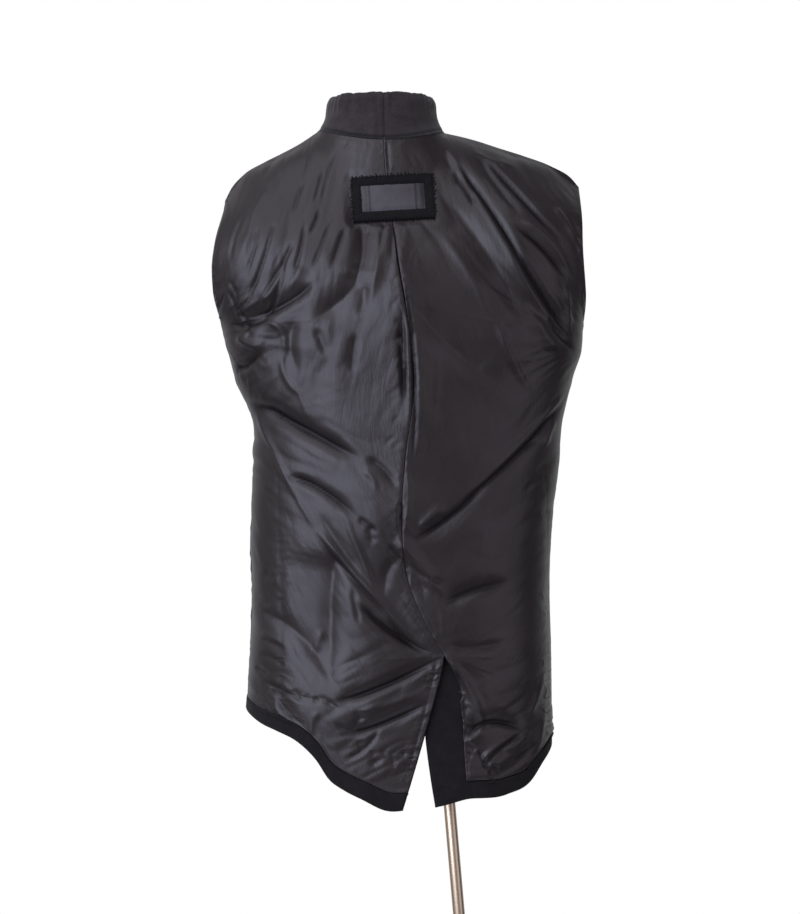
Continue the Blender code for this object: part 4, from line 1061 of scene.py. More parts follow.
# Tent of cloth over the middle seam: its height, its reach on each side, and the heights it stands between.
TENT = 0.0150
TENT_REACH = (0.080, 0.045)
TENT_FROM, TENT_TO = (0.84, 0.12), (1.38, 0.14)
GROOVE, GROOVE_WIDE, GROOVE_FROM = -0.0014, 0.0018, (0.80, 0.10)
VENT_SEAM_IN = 0.0075
VENT_GROOVE, VENT_GROOVE_WIDE, VENT_FROM = -0.0012, 0.0016, 0.02
GATHER_TO = (1.02, 0.03)
GATHER_FROM = {LEFT: (0.66, 0.03), RIGHT: (0.62, 0.03)}
GATHER_GROOVE, GATHER_GROOVE_WIDE = 0.0004, 0.0020
BAND_ROW, BAND_LOW, BAND_ROOM = 1.86, -0.0011, 0.012
SEWN_FLAT = 0.12
# Painted shade in a ragged band at the ends of the gathers beside the middle seam: how dark, how far out, and
# the heights it lies between.
RAGGED_SHADE, RAGGED_OUT, RAGGED_IN = 0.9, (0.026, 0.012), (0.008, 0.003)
RAGGED_FROM, RAGGED_TO = (1.08, 0.03), (1.21, 0.04)
# How strong the painted shade in the troughs of the creases is.
CORE_SHADE = 0.74
PATCH_X = -0.0090
PATCH_Z = 1.3610
PATCH_TILT = math.radians(3.5)
PATCH_WIDE = 0.107
PATCH_TALL = 0.059
PATCH_ROUND = 0.014


def faded(value, span):
    """Eased share left of the way up to a span of (end, length)."""
    end, length = span
    return ease((end - value) / length)


def puckers(gap, along, period, deep, reach, seed):
    """Gathers of a sewn edge: small sharp ridges square to it, uneven in place, length and depth, in clumps.
    A ridge stands where a lattice noise crosses 0, and all of them die out away from the edge."""
    gap = np.maximum(gap, 0.0)
    skewed = along + 0.5 * rumple(along, gap, 5.0 * period, reach, seed + 2) * gap
    crossing = rumple(skewed, gap, 0.55 * period, 1.3 * reach, seed)
    ridge = np.exp(-np.abs(crossing) / GATHER_SHARP) - RIDGE_MEAN
    clump = ease(0.55 + 0.75 * rumple(along, 0.0 * gap, 2.6 * period, 1.0, seed + 1))
    return deep * (0.25 + 0.75 * clump) * ridge * np.exp(-((gap / reach) ** 1.3))


def gathers(edge, gap, along, side=0):
    """The gathers that SEWN gives an edge."""
    *sizes, seed = SEWN[edge]
    return puckers(gap, along, *sizes, seed + side)


def pulled(x, z, to_x, to_z, reach, deep, seed):
    """Folds that run out from a place where the cloth is held: ridges between them widen with the distance,
    and they die out at about the reach. A ridge stands where a lattice noise over the angle crosses 0."""
    away = np.hypot(x - to_x, z - to_z)
    angle = np.arctan2(z - to_z, -abs(to_x) / to_x * (x - to_x))
    crossing = rumple(angle, np.log(away + 0.02), 0.13, 0.90, seed)
    ridge = np.exp(-np.abs(crossing) / PULLED_SHARP) - RIDGE_MEAN
    return deep * ridge * ease((away - 0.012) / 0.035) * np.exp(-((away / reach) ** 1.5))


def patch_mask(x, z):
    """1 under the patch and 0 from PATCH_ROUND outside its edge."""
    across = (x - PATCH_X) * math.cos(PATCH_TILT) + (z - PATCH_Z) * math.sin(PATCH_TILT)
    up = (z - PATCH_Z) * math.cos(PATCH_TILT) - (x - PATCH_X) * math.sin(PATCH_TILT)
    past_side, past_top = np.abs(across) - PATCH_WIDE / 2, np.abs(up) - PATCH_TALL / 2
    gap = np.hypot(np.maximum(past_side, 0.0), np.maximum(past_top, 0.0))
    return 1.0 - ease(gap / PATCH_ROUND)


def back_height(side, u, v, x, z):
    """Height of the back lining over its bare surface: the tent along the middle seam, the creases, the swells
    and the gathers. Also the painted shade of each place, in the troughs of the creases and in a ragged band
    beside the middle seam. All of them are still where the cloth is sewn down."""
    seam = read(CENTRE_BACK, z, 1)
    away = np.abs(x - seam)
    reach = np.where(x < seam, *TENT_REACH)
    tent = TENT * np.exp(-((away / reach) ** 1.3)) * eased(z, TENT_FROM) * faded(z, TENT_TO)
    creases, shade = crease_field(x, z, back_creases())
    folds = creases + drape(0, BACK, x, z)
    for held in HELD:
        folds += pulled(x, z, *held)
    folds += crumple(x, z, 500)
    high = tent + folds
    below = faded(z, (VENT_HEAD, VENT_FROM))
    groove = GROOVE * np.exp(-away / GROOVE_WIDE) * eased(z, GROOVE_FROM)
    if side == LEFT:
        ragged = faded(z, (1.20, 0.05)) * eased(z, (0.60, 0.06))
        high += gathers("middle left", away, z) * (0.35 + 0.65 * ragged)
        vent_gap = np.abs(x - (read(VENT, z, 1) - VENT_SEAM_IN))
        high = high * (1.0 - below) + below * (folds + gathers("vent left", vent_gap, z))
        high += groove * (1.0 - below) + below * VENT_GROOVE * np.exp(-vent_gap / VENT_GROOVE_WIDE)
    else:
        high += gathers("middle right", away, z) + groove
        high += below * gathers("vent right", np.abs(x - read(VENT, z, 2)), z)
    span = faded(z, GATHER_TO) * eased(z, GATHER_FROM[side])
    gap = np.abs(x - read(GATHER, z, 1 if side == LEFT else 2))
    high += span * (gathers("gathered seam", gap, z, side) - GATHER_GROOVE * np.exp(-gap / GATHER_GROOVE_WIDE))
    high += gathers("hem", (2.0 - v) * LOWER_METRES, x, side)
    high += faded(u, (0.44, 0.02)) * gathers("neck", NECK_METRES * v, x, side) * faded(v, (0.3, 0.1))
    high += gathers("armhole", (1.0 - u) * SIDE_METRES, z, side) * faded(v, (1.0, 0.1)) * eased(v, (0.0, 0.1))
    room = BAND_LOW - BAND_ROOM * faded(v, (1.98, 0.12))
    high = np.where(v > BAND_ROW, np.maximum(high, room), high)
    under = patch_mask(x, z)
    high = high * (1.0 - under) + 0.0010 * under * rumple(x, z, 0.006, 0.03, 91) * (1 - under)
    sewn = eased(v, (0.0, 0.05)) * faded(u, (1.0, 0.03)) * faded(v, (2.0, 0.012))
    # Painted shade: a ragged dark band in patches left of the middle seam, where the troughs of the gathers
    # lie.
    dark = RAGGED_SHADE * (side == LEFT) * faded(away, RAGGED_OUT) * faded(z, RAGGED_TO) * eased(z, RAGGED_FROM)
    patchy = ease((rumple(x, z, 0.0050, 0.0100, 95) + 0.45) / 0.5)
    shade = np.maximum(CORE_SHADE * shade, dark * patchy * eased(away, RAGGED_IN))
    return high * (SEWN_FLAT + (1.0 - SEWN_FLAT) * sewn), shade * sewn * (1.0 - under)


# The satin's finest creases run down and outwards to the height PULL_TURN and inwards above it, round a bend
# of PULL_BEND metres. PULL_SLOPE is how far they go across for each metre down, and PULL_SIDE leans all one
# way.
PULL_TURN = 1.05
PULL_SLOPE = 0.44
PULL_BEND = 0.08
PULL_SIDE = 0.11


def pulled_place(tree):
    """Places turned so that lines of the same first number run the way the satin's finest creases do."""
    axes = add_node(tree, "SeparateXYZ", _0=add_node(tree, "TexCoord").outputs["Object"])
    beside = add_node(tree, "Math", {"operation": "ABSOLUTE"}, _0=axes.outputs["X"])
    above = add_node(tree, "Math", {"operation": "SUBTRACT", 1: PULL_TURN}, _0=axes.outputs["Z"])
    square = add_node(tree, "Math", {"operation": "MULTIPLY_ADD", 2: PULL_BEND**2}, _0=above, _1=above)
    bend = add_node(tree, "Math", {"operation": "SQRT"}, _0=square)
    steep = add_node(tree, "Math", {"operation": "MULTIPLY_ADD", 1: PULL_SLOPE}, _0=bend, _2=beside)
    aside = {"operation": "MULTIPLY_ADD", 1: -PULL_SIDE}
    cross = add_node(tree, "Math", aside, _0=axes.outputs["Z"], _2=steep)
    return add_node(tree, "CombineXYZ", X=cross, Y=axes.outputs["Z"], Z=axes.outputs["Y"])


def acetate_satin(name, low, high):
    """Warp-faced acetate satin: smooth, so it throws back a soft streak of light, with a cool cast where it
    shines and a warm black where it does not. Threads run down the cloth. They are 0.1 mm apart and are drawn
    2.4 mm apart, with slubs 30 to 60 mm long. Where the mesh's shade mark is, painted shade turns it nearly
    black and dulls its gloss. Gives the material, its tree, its shader and its colour with the painted shade."""
    sheen = {"Sheen_Weight": 0.05, "Sheen_Tint": linear("#9aa0c8")}
    material, tree, shader = new_material(name, IOR=1.48, **sheen)
    place = add_node(tree, "UVMap", {"uv_map": "cloth"})
    down = add_node(tree, "Mapping", {"Scale": (420.0, 20.0, 1.0)}, Vector=place)
    slub = noise(tree, down, 1.0, 2.0, roughness=0.55)
    over = add_node(tree, "Mapping", {"Scale": (26.0, 520.0, 1.0)}, Vector=place)
    weft = noise(tree, over, 1.0, 2.0)
    thread = add_node(tree, "Math", {"operation": "MULTIPLY_ADD", 1: 0.35}, _0=weft, _2=slub)
    crush_map = add_node(tree, "Mapping", {"Scale": (105.0, 24.0, 24.0)}, Vector=pulled_place(tree))
    crush = noise(tree, crush_map, 1.0, 3.0, roughness=0.5, distortion=0.5)
    fold = add_node(tree, "Math", {"operation": "PINGPONG", 1: 0.5}, _0=crush)
    tone = ramp(tree, noise(tree, place, 11.0, 3.0), low, high, 0.30, 0.72)
    rough = add_node(tree, "MapRange", {"To Min": 0.33, "To Max": 0.42}, Value=slub)
    soft = bump(tree, fold, 0.13, 0.004, Normal=bump(tree, thread, 0.30, 0.0004))
    # Painted shade: where the shade mark is 1, the colour turns nearly black and the gloss is turned down.
    dark, deep = marked(tree, tone, "shade", "#070506")
    dull = add_node(tree, "MapRange", {"To Min": 0.5, "To Max": 0.06}, Value=deep)
    feed(tree, shader, Base_Color=dark, Specular_IOR_Level=dull, Roughness=rough, Normal=soft)
    return material, tree, shader, dark


satin = acetate_satin("black acetate satin", "#241e1f", "#302a2b")[0]
melton_cloth = melton("milled wool melton", "#110f10", "#231f21", 0.05)
BACK_COLUMNS = 122
BACK_ROWS = rows_between((0.0, 128), (1.0, 160), (VENT_ROW, 106), (2.0, 0))
BACK_CUT = {LEFT: (0.33, 0.93, 0.240), RIGHT: (0.31, 0.92, 0.230)}  # flat width, length and area as cut
BACK_ROUNDS = 260
SMOOTH_DOWN = (0.85, 0.15)


def lining_depth(side, face):
    """Depth of the lining's outer face, which dips to the wool along the edge beside the underlap."""

    def depth(u, v):
        if face == BACK and side == RIGHT:
            dip = ease((2.0 - v) / EDGE_RAMP) * (1.0 - ease(u / UNDERLAP_OUT[0]))
            return SLACK * dip * ease((v - VENT_ROW) / 0.06)
        return 0.0 * u

    return depth


def make_panel(name, node, side, face, us, rows, piece, depth, rounds, heights, rests_on, cut, **look):
    """A creased panel: its bare surface, smoothed down to the foot of the armhole, then pushed out by the
    heights that a function gives, with the marks it gives. The cut is the flat width, length and area; it is
    not used."""
    u, v, grid = bare_layer(side, face, us, rows, piece, depth(side, face))
    grid = relaxed(grid, rounds, eased(v, SMOOTH_DOWN))
    uv = metres_across(grid, side)
    high, marks = heights(u, v, grid[..., 0], grid[..., 2])
    grid = grid + high[..., None] * normals(grid, side * face)
    made = linked(name, grid, uv=uv, flip=side * face < 0, marks=marks, **look)
    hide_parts(node)


for side in (LEFT, RIGHT):

    def heights(u, v, x, z):
        high, shade = back_height(side, u, v, x, z)
        return high, {"shade": shade}

    share = np.linspace(0.0, 1.0, BACK_COLUMNS + 1)
    us = 0.35 * share + 0.65 * share**1.45
    names = (f"lining_back_panel_{side_name(side)}", f"lining_back_{side_name(side)}")
    under, cut = f"wool_back_{side_name(side)}", BACK_CUT[side]
    look = {"material": satin, "slot": "black_satin", "thick": LINING}
    make_panel(
        *names, side, BACK, us, BACK_ROWS, "lining", lining_depth, BACK_ROUNDS, heights, under, cut, **look
    )


# ---------------------------------------------------------------------------------------------------------
# Wool shell panels. Inside the lining, they show only as the hem band, the underlap of the vent and from
# below.

SHELL_CUT = {  # flat width, length and area as cut
    "back_left": (0.32, 0.93, 0.230),
    "back_right": (0.31, 0.92, 0.224),
    "front_left": (0.36, 0.87, 0.240),
    "front_right": (0.36, 0.89, 0.242),
}
SHELL_COLUMNS = 60
SHELL_ROWS = rows_between(
    (0.0, 40), (1.0, 50), (VENT_ROW, 50), (1.97, 10), (2.035, 14), (2.09, 10), (2.86, 10), (3.0, 0)
)
SHELL_ROUNDS = 80
SHELL_SPREAD = 1.8
HEM_SWELL = 0.0007
# Main creases of the fronts, with the columns of the back's.
FRONT_CREASES = {
    LEFT: (
        (-215, 1150, -140, 1075, -50, 1010, 12, 5.2, 0.4),
        (-205, 1125, -150, 1060, -75, 985, 9, -5, 0.3),
        (-222, 1172, -170, 1130, -120, 1110, 10, 4, -0.2),
        (-150, 1380, -165, 1290, -200, 1215, 10, 4.6, 0.3),
        (-185, 1345, -200, 1290, -222, 1240, 8, -3.6, 0.2),
        (-118, 1350, -120, 1290, -138, 1230, 8, -2.6, 0),
        (-100, 1260, -112, 1190, -100, 1120, 16, 3, 0.2),
        (-60, 1180, -78, 1100, -70, 1030, 12, -3, 0),
        (-120, 960, -132, 850, -112, 740, 14, 4.6, -0.4),
        (-160, 930, -166, 830, -150, 735, 10, -3.4, 0),
        (-80, 900, -88, 820, -78, 750, 10, -3, 0.2),
        (-190, 800, -160, 780, -120, 735, 9, -3.8, -0.3),
        (-186, 760, -150, 738, -118, 715, 8, 3, 0.2),
        (-140, 735, -120, 722, -95, 716, 7, -2.6, 0),
    ),
    RIGHT: (
        (220, 1158, 150, 1080, 75, 1025, 12, 5, -0.4),
        (212, 1130, 160, 1060, 98, 975, 9, -5, -0.3),
        (226, 1185, 180, 1150, 120, 1135, 10, 3.8, 0.2),
        (135, 1380, 160, 1300, 205, 1225, 10, 4.4, -0.3),
        (170, 1370, 190, 1310, 222, 1262, 8, -3.6, -0.2),
        (110, 1330, 108, 1270, 128, 1205, 8, -2.6, 0),
        (98, 1220, 110, 1150, 92, 1080, 16, 2.8, -0.2),
        (118, 940, 136, 840, 118, 730, 14, 4.4, 0.4),
        (166, 900, 172, 800, 150, 700, 10, -3.2, 0),
        (80, 920, 88, 830, 76, 755, 10, -2.8, -0.2),
        (192, 780, 165, 755, 120, 722, 9, -3.6, 0.3),
        (190, 735, 160, 708, 128, 694, 8, 3, -0.2),
        (150, 720, 130, 706, 100, 702, 7, -2.4, 0),
    ),
}


def shell_creases(side, face, x, z):
    """Height of the folds that the wool shares with the lining over it."""
    if face == FRONT:
        return crease_field(x, z, in_metres(FRONT_CREASES[side]))[0] + drape(side, face, x, z)
    return crease_field(x, z, back_creases(), SHELL_SPREAD)[0] + drape(0, face, x, z)


for side in (LEFT, RIGHT):
    for face, where in ((BACK, "back"), (FRONT, "front")):

        def heights(u, v, x, z):
            still = eased(v, (0.0, 0.12)) * faded(u, (1.0, 0.06)) * faded(v, (2.0, 0.10))
            high = hang_room(shell_creases(side, face, x, z) * still, freedom(side, face, u, v))
            return high + HEM_SWELL * rumple(x, z, 0.030, 0.020, 31 + side) * eased(v, (2.0, 0.1)), None

        name = f"{where}_{side_name(side)}"
        names = (f"wool_{name}", f"shell_{name}")
        us = np.linspace(0.0, 1.0, SHELL_COLUMNS)
        look = {"material": melton_cloth, "slot": "black_wool", "thick": WOOL}
        under, cut = "form_torso", SHELL_CUT[name]
        make_panel(
            *names, side, face, us, SHELL_ROWS, "shell", shell_depth, SHELL_ROUNDS, heights, under, cut, **look
        )

# ---------------------------------------------------------------------------------------------------------
# Fronts. Each is a wool facing beside the front edge and a satin lining from there to the side seam. The
# front on -X laps over the other. Both are sewn like the back and hang straighter.

FACING = 0.0014
FACING_SHARE = 0.30
FRONT_CUT = {  # flat width, length and area as cut
    "facing_left": (0.13, 0.87, 0.083),
    "facing_right": (0.13, 0.87, 0.079),
    "lining_front_left": (0.25, 0.86, 0.162),
    "lining_front_right": (0.25, 0.89, 0.169),
}
FRONT_ROWS = rows_between((0.0, 50), (1.0, 60), (VENT_ROW, 40), (2.0, 0))
FRONT_ROUNDS = 60
FACING_STILL = (0.22, 0.16)
FACING_GROOVE, FACING_GROOVE_WIDE = 0.0012, 0.0018
FRONT_FLAT = 0.1


def front_height(side, u, v, x, z):
    """Height of a front's creases: its own folds, the swells, and gathers at the neck, hem, side and
    armhole."""
    high = crease_field(x, z, in_metres(FRONT_CREASES[side]))[0] + drape(side, FRONT, x, z)
    high += pulled(x, z, side * 0.245, 1.185, 0.130, 0.0028, 193 + side)
    high += 0.0007 * (np.exp(-np.abs(rumple(x - 0.3 * z, z, 0.020, 0.060, 64 + side)) / 0.3) - 0.5)
    soft = eased(u, FACING_STILL)
    high = high * (0.25 + 0.75 * soft)
    high += soft * gathers("front hem", (2.0 - v) * FRONT_LOWER_METRES, x, side)
    high += gathers("front side", (1.0 - u) * SIDE_METRES, z, side) * eased(v, (0.0, 0.1))
    facing_seam = np.abs(u - FACING_SHARE) * FRONT_METRES
    high += (u > FACING_SHARE) * gathers("facing", facing_seam, z, side)
    high -= FACING_GROOVE * np.exp(-facing_seam / FACING_GROOVE_WIDE)
    sewn = eased(v, (0.0, 0.06)) * faded(u, (1.0, 0.03)) * faded(v, (2.0, 0.012))
    return high * (FRONT_FLAT + (1.0 - FRONT_FLAT) * sewn) * eased(u, (0.0, 0.05))


for side in (LEFT, RIGHT):

    def heights(u, v, x, z):
        return front_height(side, u, v, x, z), None

    for name, first, last, columns, thick, material, slot in (
        ("facing", 0.0, FACING_SHARE, 31, FACING, melton_cloth, "black_wool"),
        ("lining_front", FACING_SHARE + 0.002, 1.0, 81, LINING, satin, "black_satin"),
    ):
        names = (f"{name}_cloth_{side_name(side)}", f"{name}_{side_name(side)}")
        us = np.linspace(first, last, columns)
        under, cut = f"wool_front_{side_name(side)}", FRONT_CUT[names[1]]
        look = {"material": material, "slot": slot, "thick": thick}
        make_panel(
            *names, side, FRONT, us, FRONT_ROWS, "lining", lining_depth, FRONT_ROUNDS, heights, under, cut,
            **look,
        )

# ---------------------------------------------------------------------------------------------------------
# Sleeves. They hang inside the body, as they do when a coat is turned inside out. Each is a wool tube round a
# satin one. At the armhole they turn inwards in pleats, and lower down they hang flat against the side.

SLEEVE_START = 1.050
CUFF = 0.765
SLEEVE_FLAT = 0.0085
SLEEVE_FULL = 0.0130
SLEEVE_HALF_TOP = 0.068
SLEEVE_HALF_CUFF = 0.060
SLEEVE_OFF_WALL = 0.0055
SLEEVE_GAP = 0.0005
SLEEVE_WOOL = 0.0015
SLEEVE_SATIN_IN = -0.0019
SLEEVE_WOOL_OUT = SLEEVE_WOOL - 0.0002
SLEEVE_ROUND = 0.7
SLEEVE_TURN_IN = 0.044
SLEEVE_TURN_DOWN = (0.090, 0.050)
SLEEVE_HEAD_ROW = 0.08
PLEAT, SLACK_CREASE = 0.0030, 0.0009
SLEEVE_TURNS = np.linspace(0.0, 2 * math.pi, 72, endpoint=False)
SLEEVE_ROWS = rows_between((0.0, 6), (SLEEVE_HEAD_ROW, 36), (1.0, 40), (2.0, 0))


def grown(ring, sense, axis, distance):
    """A closed ring square to an axis, moved out by a distance. The sense is 1 or -1, for the way it
    turns."""
    out = sense * np.cross(np.roll(ring, -1, axis=0) - ring, np.eye(3)[axis])
    ahead = out / np.linalg.norm(out, axis=1, keepdims=True)
    behind = np.roll(ahead, 1, axis=0)
    return ring + distance * (ahead + behind) / (1.0 + np.sum(ahead * behind, axis=1, keepdims=True))


def sleeve_grid(side, rows, grow):
    """Rings from the armhole to the cuff. The first run to the hanging part on curves that start inwards."""
    turn = SLEEVE_TURNS
    foot, head = ARM_FOOT[side], ARM_HEAD[side]
    z = (foot + head) / 2 + (head - foot) / 2 * np.sin(turn)
    edge = np.where(
        np.cos(turn) < 0,
        coat_point(side, BACK, 1.0 + 0.0 * turn, z, 0.0, "lining"),
        coat_point(side, FRONT, 1.0 + 0.0 * turn, z, 0.0, "lining"),
    )
    hole = grown(np.stack([edge[0] - side * SLEEVE_GAP, edge[1], z], axis=-1), 1, 0, grow)

    def hanging(height):
        share = (SLEEVE_START - height) / (SLEEVE_START - CUFF)
        half = SLEEVE_HALF_TOP + (SLEEVE_HALF_CUFF - SLEEVE_HALF_TOP) * share
        flat = SLEEVE_FULL + (SLEEVE_FLAT - SLEEVE_FULL) * ease(2.0 * share)
        swell = np.sign(np.sin(turn)) * np.abs(np.sin(turn)) ** SLEEVE_ROUND
        across = half * np.cos(turn)
        depth = UNDER_EDGE + SLACK + WOOL + SLEEVE_OFF_WALL + SLEEVE_WOOL + flat
        middle, wide, back = section(BACK, height, depth)
        deep = np.where(across < 0, back, section(FRONT, height, depth)[2])
        reach = (1.0 - np.abs(across / deep) ** SQUARENESS) ** (1.0 / SQUARENESS)
        x = middle + side * (wide * reach - flat * swell)
        return grown(np.stack([x, across, np.full_like(x, height)], axis=-1), side, 2, grow)

    first = hanging(SLEEVE_START)
    start = hole + SLEEVE_TURN_IN * np.array([-side, 0.0, 0.0])
    upward = SLEEVE_TURN_DOWN[0] + SLEEVE_TURN_DOWN[1] * np.sin(turn)
    end = first + upward[:, None] * np.array([0.0, 0.0, 1.0])
    rings = []
    for row in rows:
        rest = 1.0 - row
        bend = hole * rest**3 + start * 3 * row * rest**2 + end * 3 * row**2 * rest + first * row**3
        rings.append(bend if row <= 1.0 else hanging(SLEEVE_START + (CUFF - SLEEVE_START) * (row - 1.0)))
    return np.stack(rings, axis=1)


def sleeve_pleats(side, turn, row):
    """Height of the pleats: uneven waves round the tube, deepest where it turns down, and slack creases
    below."""
    round_x, round_y = np.cos(turn), np.sin(turn)
    pleat = rumple(round_x + 0.2 * row, round_y, 0.30, 0.30, 121 + side)
    pleat = pleat + 0.5 * rumple(round_x, round_y + 0.1 * row, 0.14, 0.14, 124)
    bend = eased(row, (0.0, 0.12)) * faded(row, (1.25, 0.5))
    slack = rumple(round_x + 2.0 * row, round_y - row, 0.5, 0.4, 127 + side) * eased(row, (0.9, 0.3))
    return PLEAT * pleat * bend + SLACK_CREASE * slack


for side in (LEFT, RIGHT):
    turn, row = np.meshgrid(SLEEVE_TURNS, SLEEVE_ROWS, indexing="ij")
    satin_grid = sleeve_grid(side, SLEEVE_ROWS, SLEEVE_SATIN_IN)
    closed = np.concatenate([satin_grid[-1:], satin_grid, satin_grid[:1]])
    push = sleeve_pleats(side, turn, row)[..., None] * normals(closed, 1.0)[1:-1]
    wool_grid = sleeve_grid(side, SLEEVE_ROWS, SLEEVE_WOOL_OUT)
    around = np.linspace(0.0, 0.42, len(SLEEVE_TURNS) + 1)[:, None]
    uv = np.stack(np.broadcast_arrays(around, -0.33 * SLEEVE_ROWS), axis=-1)
    every, below = slice(None), SLEEVE_ROWS >= SLEEVE_HEAD_ROW
    wool_thick = SLEEVE_WOOL - 0.0001
    for cloth, node, grid, keep, material, slot, thick, turns_in, under in (
        ("satin", "lining", satin_grid, every, satin, "black_satin", LINING, side < 0, "lining_back_panel"),
        ("wool", "shell", wool_grid, below, melton_cloth, "black_wool", wool_thick, side > 0, "wool_back"),
    ):
        name = side_name(side)
        points = (grid + push)[:, keep]
        look = {"loop": True, "flip": turns_in, "thick": thick}
        piece = linked(f"sleeve_{cloth}_{name}", points, material, slot, uv[:, keep], **look)
        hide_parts(f"sleeve_{node}_{name}")

# ---------------------------------------------------------------------------------------------------------
# Collar. A stand collar of wool over soft padding, in two halves that meet at the back. It rises from the
# neck seam, rolls over in an uneven top edge and falls again inside. A seam runs round it 4 mm up.

COLLAR_WALL = 0.0024
COLLAR_END = 0.06
COLLAR_COLUMNS = ("along", "rise", "drawn in")
COLLAR = (
    (0.000, -0.0012, -0.0010),
    (0.012, 0.0115, 0.0060),
    (0.031, 0.0300, 0.0105),
    (0.052, 0.0505, 0.0138),
    (0.059, 0.0560, 0.0170),
    (0.065, 0.0560, 0.0208),
    (0.081, 0.0420, 0.0226),
    (0.104, 0.0200, 0.0215),
)
COLLAR_ROWS = rows_between((0.0, 12), (0.010, 10), (0.016, 22), (0.049, 18), (0.068, 14), (0.104, 0))
COLLAR_SEAM = 0.0040
COLLAR_TOP = 0.060
COLLAR_STREAK, COLLAR_WAVE, COLLAR_GROOVE = 0.0013, 0.0007, -0.0009
COLLAR_NOTCH = (-0.0020, -0.0012)
NECK_ROUND = 0.085
COLLAR_AT_BACK = 1.16
COLLAR_AT_SIDE = {LEFT: 0.78, RIGHT: 0.85}
collar_cloth = melton("fine pressed wool of the collar", "#241f21", "#3f3839", 0.28)


def collar_grid(side, turns, alongs):
    """The collar's section carried round the neck seam, from the middle of the back to that of the front."""
    turn, along = np.meshgrid(turns, alongs, indexing="ij")
    rise, drawn = read(COLLAR, along, 1), read(COLLAR, along, 2)
    at_back, level = turn < math.pi / 2, np.cos(turn) ** 2
    seam_z = float(top_edge(side, BACK, np.array(NECK_SHARE))[2])
    dip = np.where(at_back, NECK_HEIGHT[BACK] - seam_z, NECK_HEIGHT[FRONT] - seam_z) * level
    tall = COLLAR_AT_SIDE[side] + (np.where(at_back, COLLAR_AT_BACK, 1.0) - COLLAR_AT_SIDE[side]) * level
    rise = rise * (1.0 + (tall - 1.0) * ease(along / 0.05))
    x = NECK_X + side * (NECK_WIDE[side] - drawn) * np.sin(turn)
    y = -(np.where(at_back, NECK_DEEP[BACK], NECK_DEEP[FRONT]) - drawn) * np.cos(turn)
    return turn, along, np.stack([x, y, seam_z + dip + rise], axis=-1)


def collar_height(side, turn, along):
    """Soft vertical streaks in the padding, a wavy top edge, the groove of the seam and a notch at the back.
    Also the painted shade of each place: along the seam and in the strip below it, in uneven bands, and in
    the join at the back."""
    streak = rumple(turn, along, 0.20, 0.050, 141 + side) + 0.5 * rumple(turn, along, 0.07, 0.045, 144)
    upper = eased(along, (0.016, 0.02))
    top = np.exp(-(((along - COLLAR_TOP) / 0.010) ** 2))
    wave = COLLAR_WAVE * rumple(turn, 0.0 * turn, 0.30, 1.0, 147 + side) * top
    off_seam = np.abs(along - COLLAR_SEAM)
    groove = COLLAR_GROOVE * np.exp(-off_seam / 0.0012)
    gather = puckers(off_seam, NECK_ROUND * turn, 0.0080, 0.0006, 0.005, 149)
    notch = COLLAR_NOTCH[0] * np.exp(-turn / 0.06) * top + COLLAR_NOTCH[1] * np.exp(-turn / 0.015)
    streaks = COLLAR_STREAK * streak * upper * (1.0 - eased(along, (0.070, 0.02)))
    high = streaks + wave + groove + gather + notch
    # Painted shade: dark along the seam, in the strip below it that the collar's foot shades, in uneven bands,
    # and in the join at the back.
    seam = np.exp(-off_seam / 0.0016) + 0.6 * faded(along, (COLLAR_SEAM + 0.001, 0.002))
    band = 0.30 * ease(rumple(turn, along, 0.045, 0.060, 151 + side) - 0.1)
    return high, np.clip(seam + band + 0.9 * np.exp(-turn / 0.012), 0.0, 1.0)


for side in (LEFT, RIGHT):
    close, wide_apart = np.linspace(0.0, 1.0, 16)[:-1] ** 1.6, np.linspace(0.2, math.pi - COLLAR_END, 90)
    turns = np.concatenate([0.2 * close, wide_apart])
    turn, along, grid = collar_grid(side, turns, COLLAR_ROWS)
    uv = np.stack([side * NECK_ROUND * turn, along], axis=-1)
    high, shade = collar_height(side, turn, along)
    grid = grid + high[..., None] * normals(grid, side)
    name = side_name(side)
    look = {"flip": side < 0, "thick": COLLAR_WALL, "marks": {"shade": shade}}
    piece = linked(f"collar_half_{name}", grid, collar_cloth, "black_wool", uv, **look)
    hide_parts(f"collar_{name}")

# ---------------------------------------------------------------------------------------------------------
# Patch. A frame of wool cut from the shell cloth, hand sewn below the collar round a small grey satin label,
# which is plain. The frame is darker than the lining and its cut edges are slightly frayed.

PATCH_BORDER = 0.0115
PATCH_OFF = 0.0018
PATCH_WOOL = 0.0014
LABEL_WALL = 0.0010
THREAD = 0.00038
STITCH_STEP = 0.0046
FRAME_EACH = 150
FRAME_STEP = 0.0006
FRAME_SHARES = (0.0, 0.04, 0.10, 0.2, 0.32, 0.44, 0.56, 0.68, 0.80, 0.90, 0.96, 1.0)
HAND_STITCH = 0.0049
# Places of one whip stitch, as shares of its reach outside the edge and heights over the cloth.
WHIP_PATH = (
    (1.15, -0.0006), (1.0, 0.0004), (0.5, 0.0010), (0.05, 0.0022), (-0.35, 0.0024), (-0.75, 0.0019),
    (-0.85, 0.0),
)
BAR_PLACE, BAR_WIDE = 0.0305, 0.0016


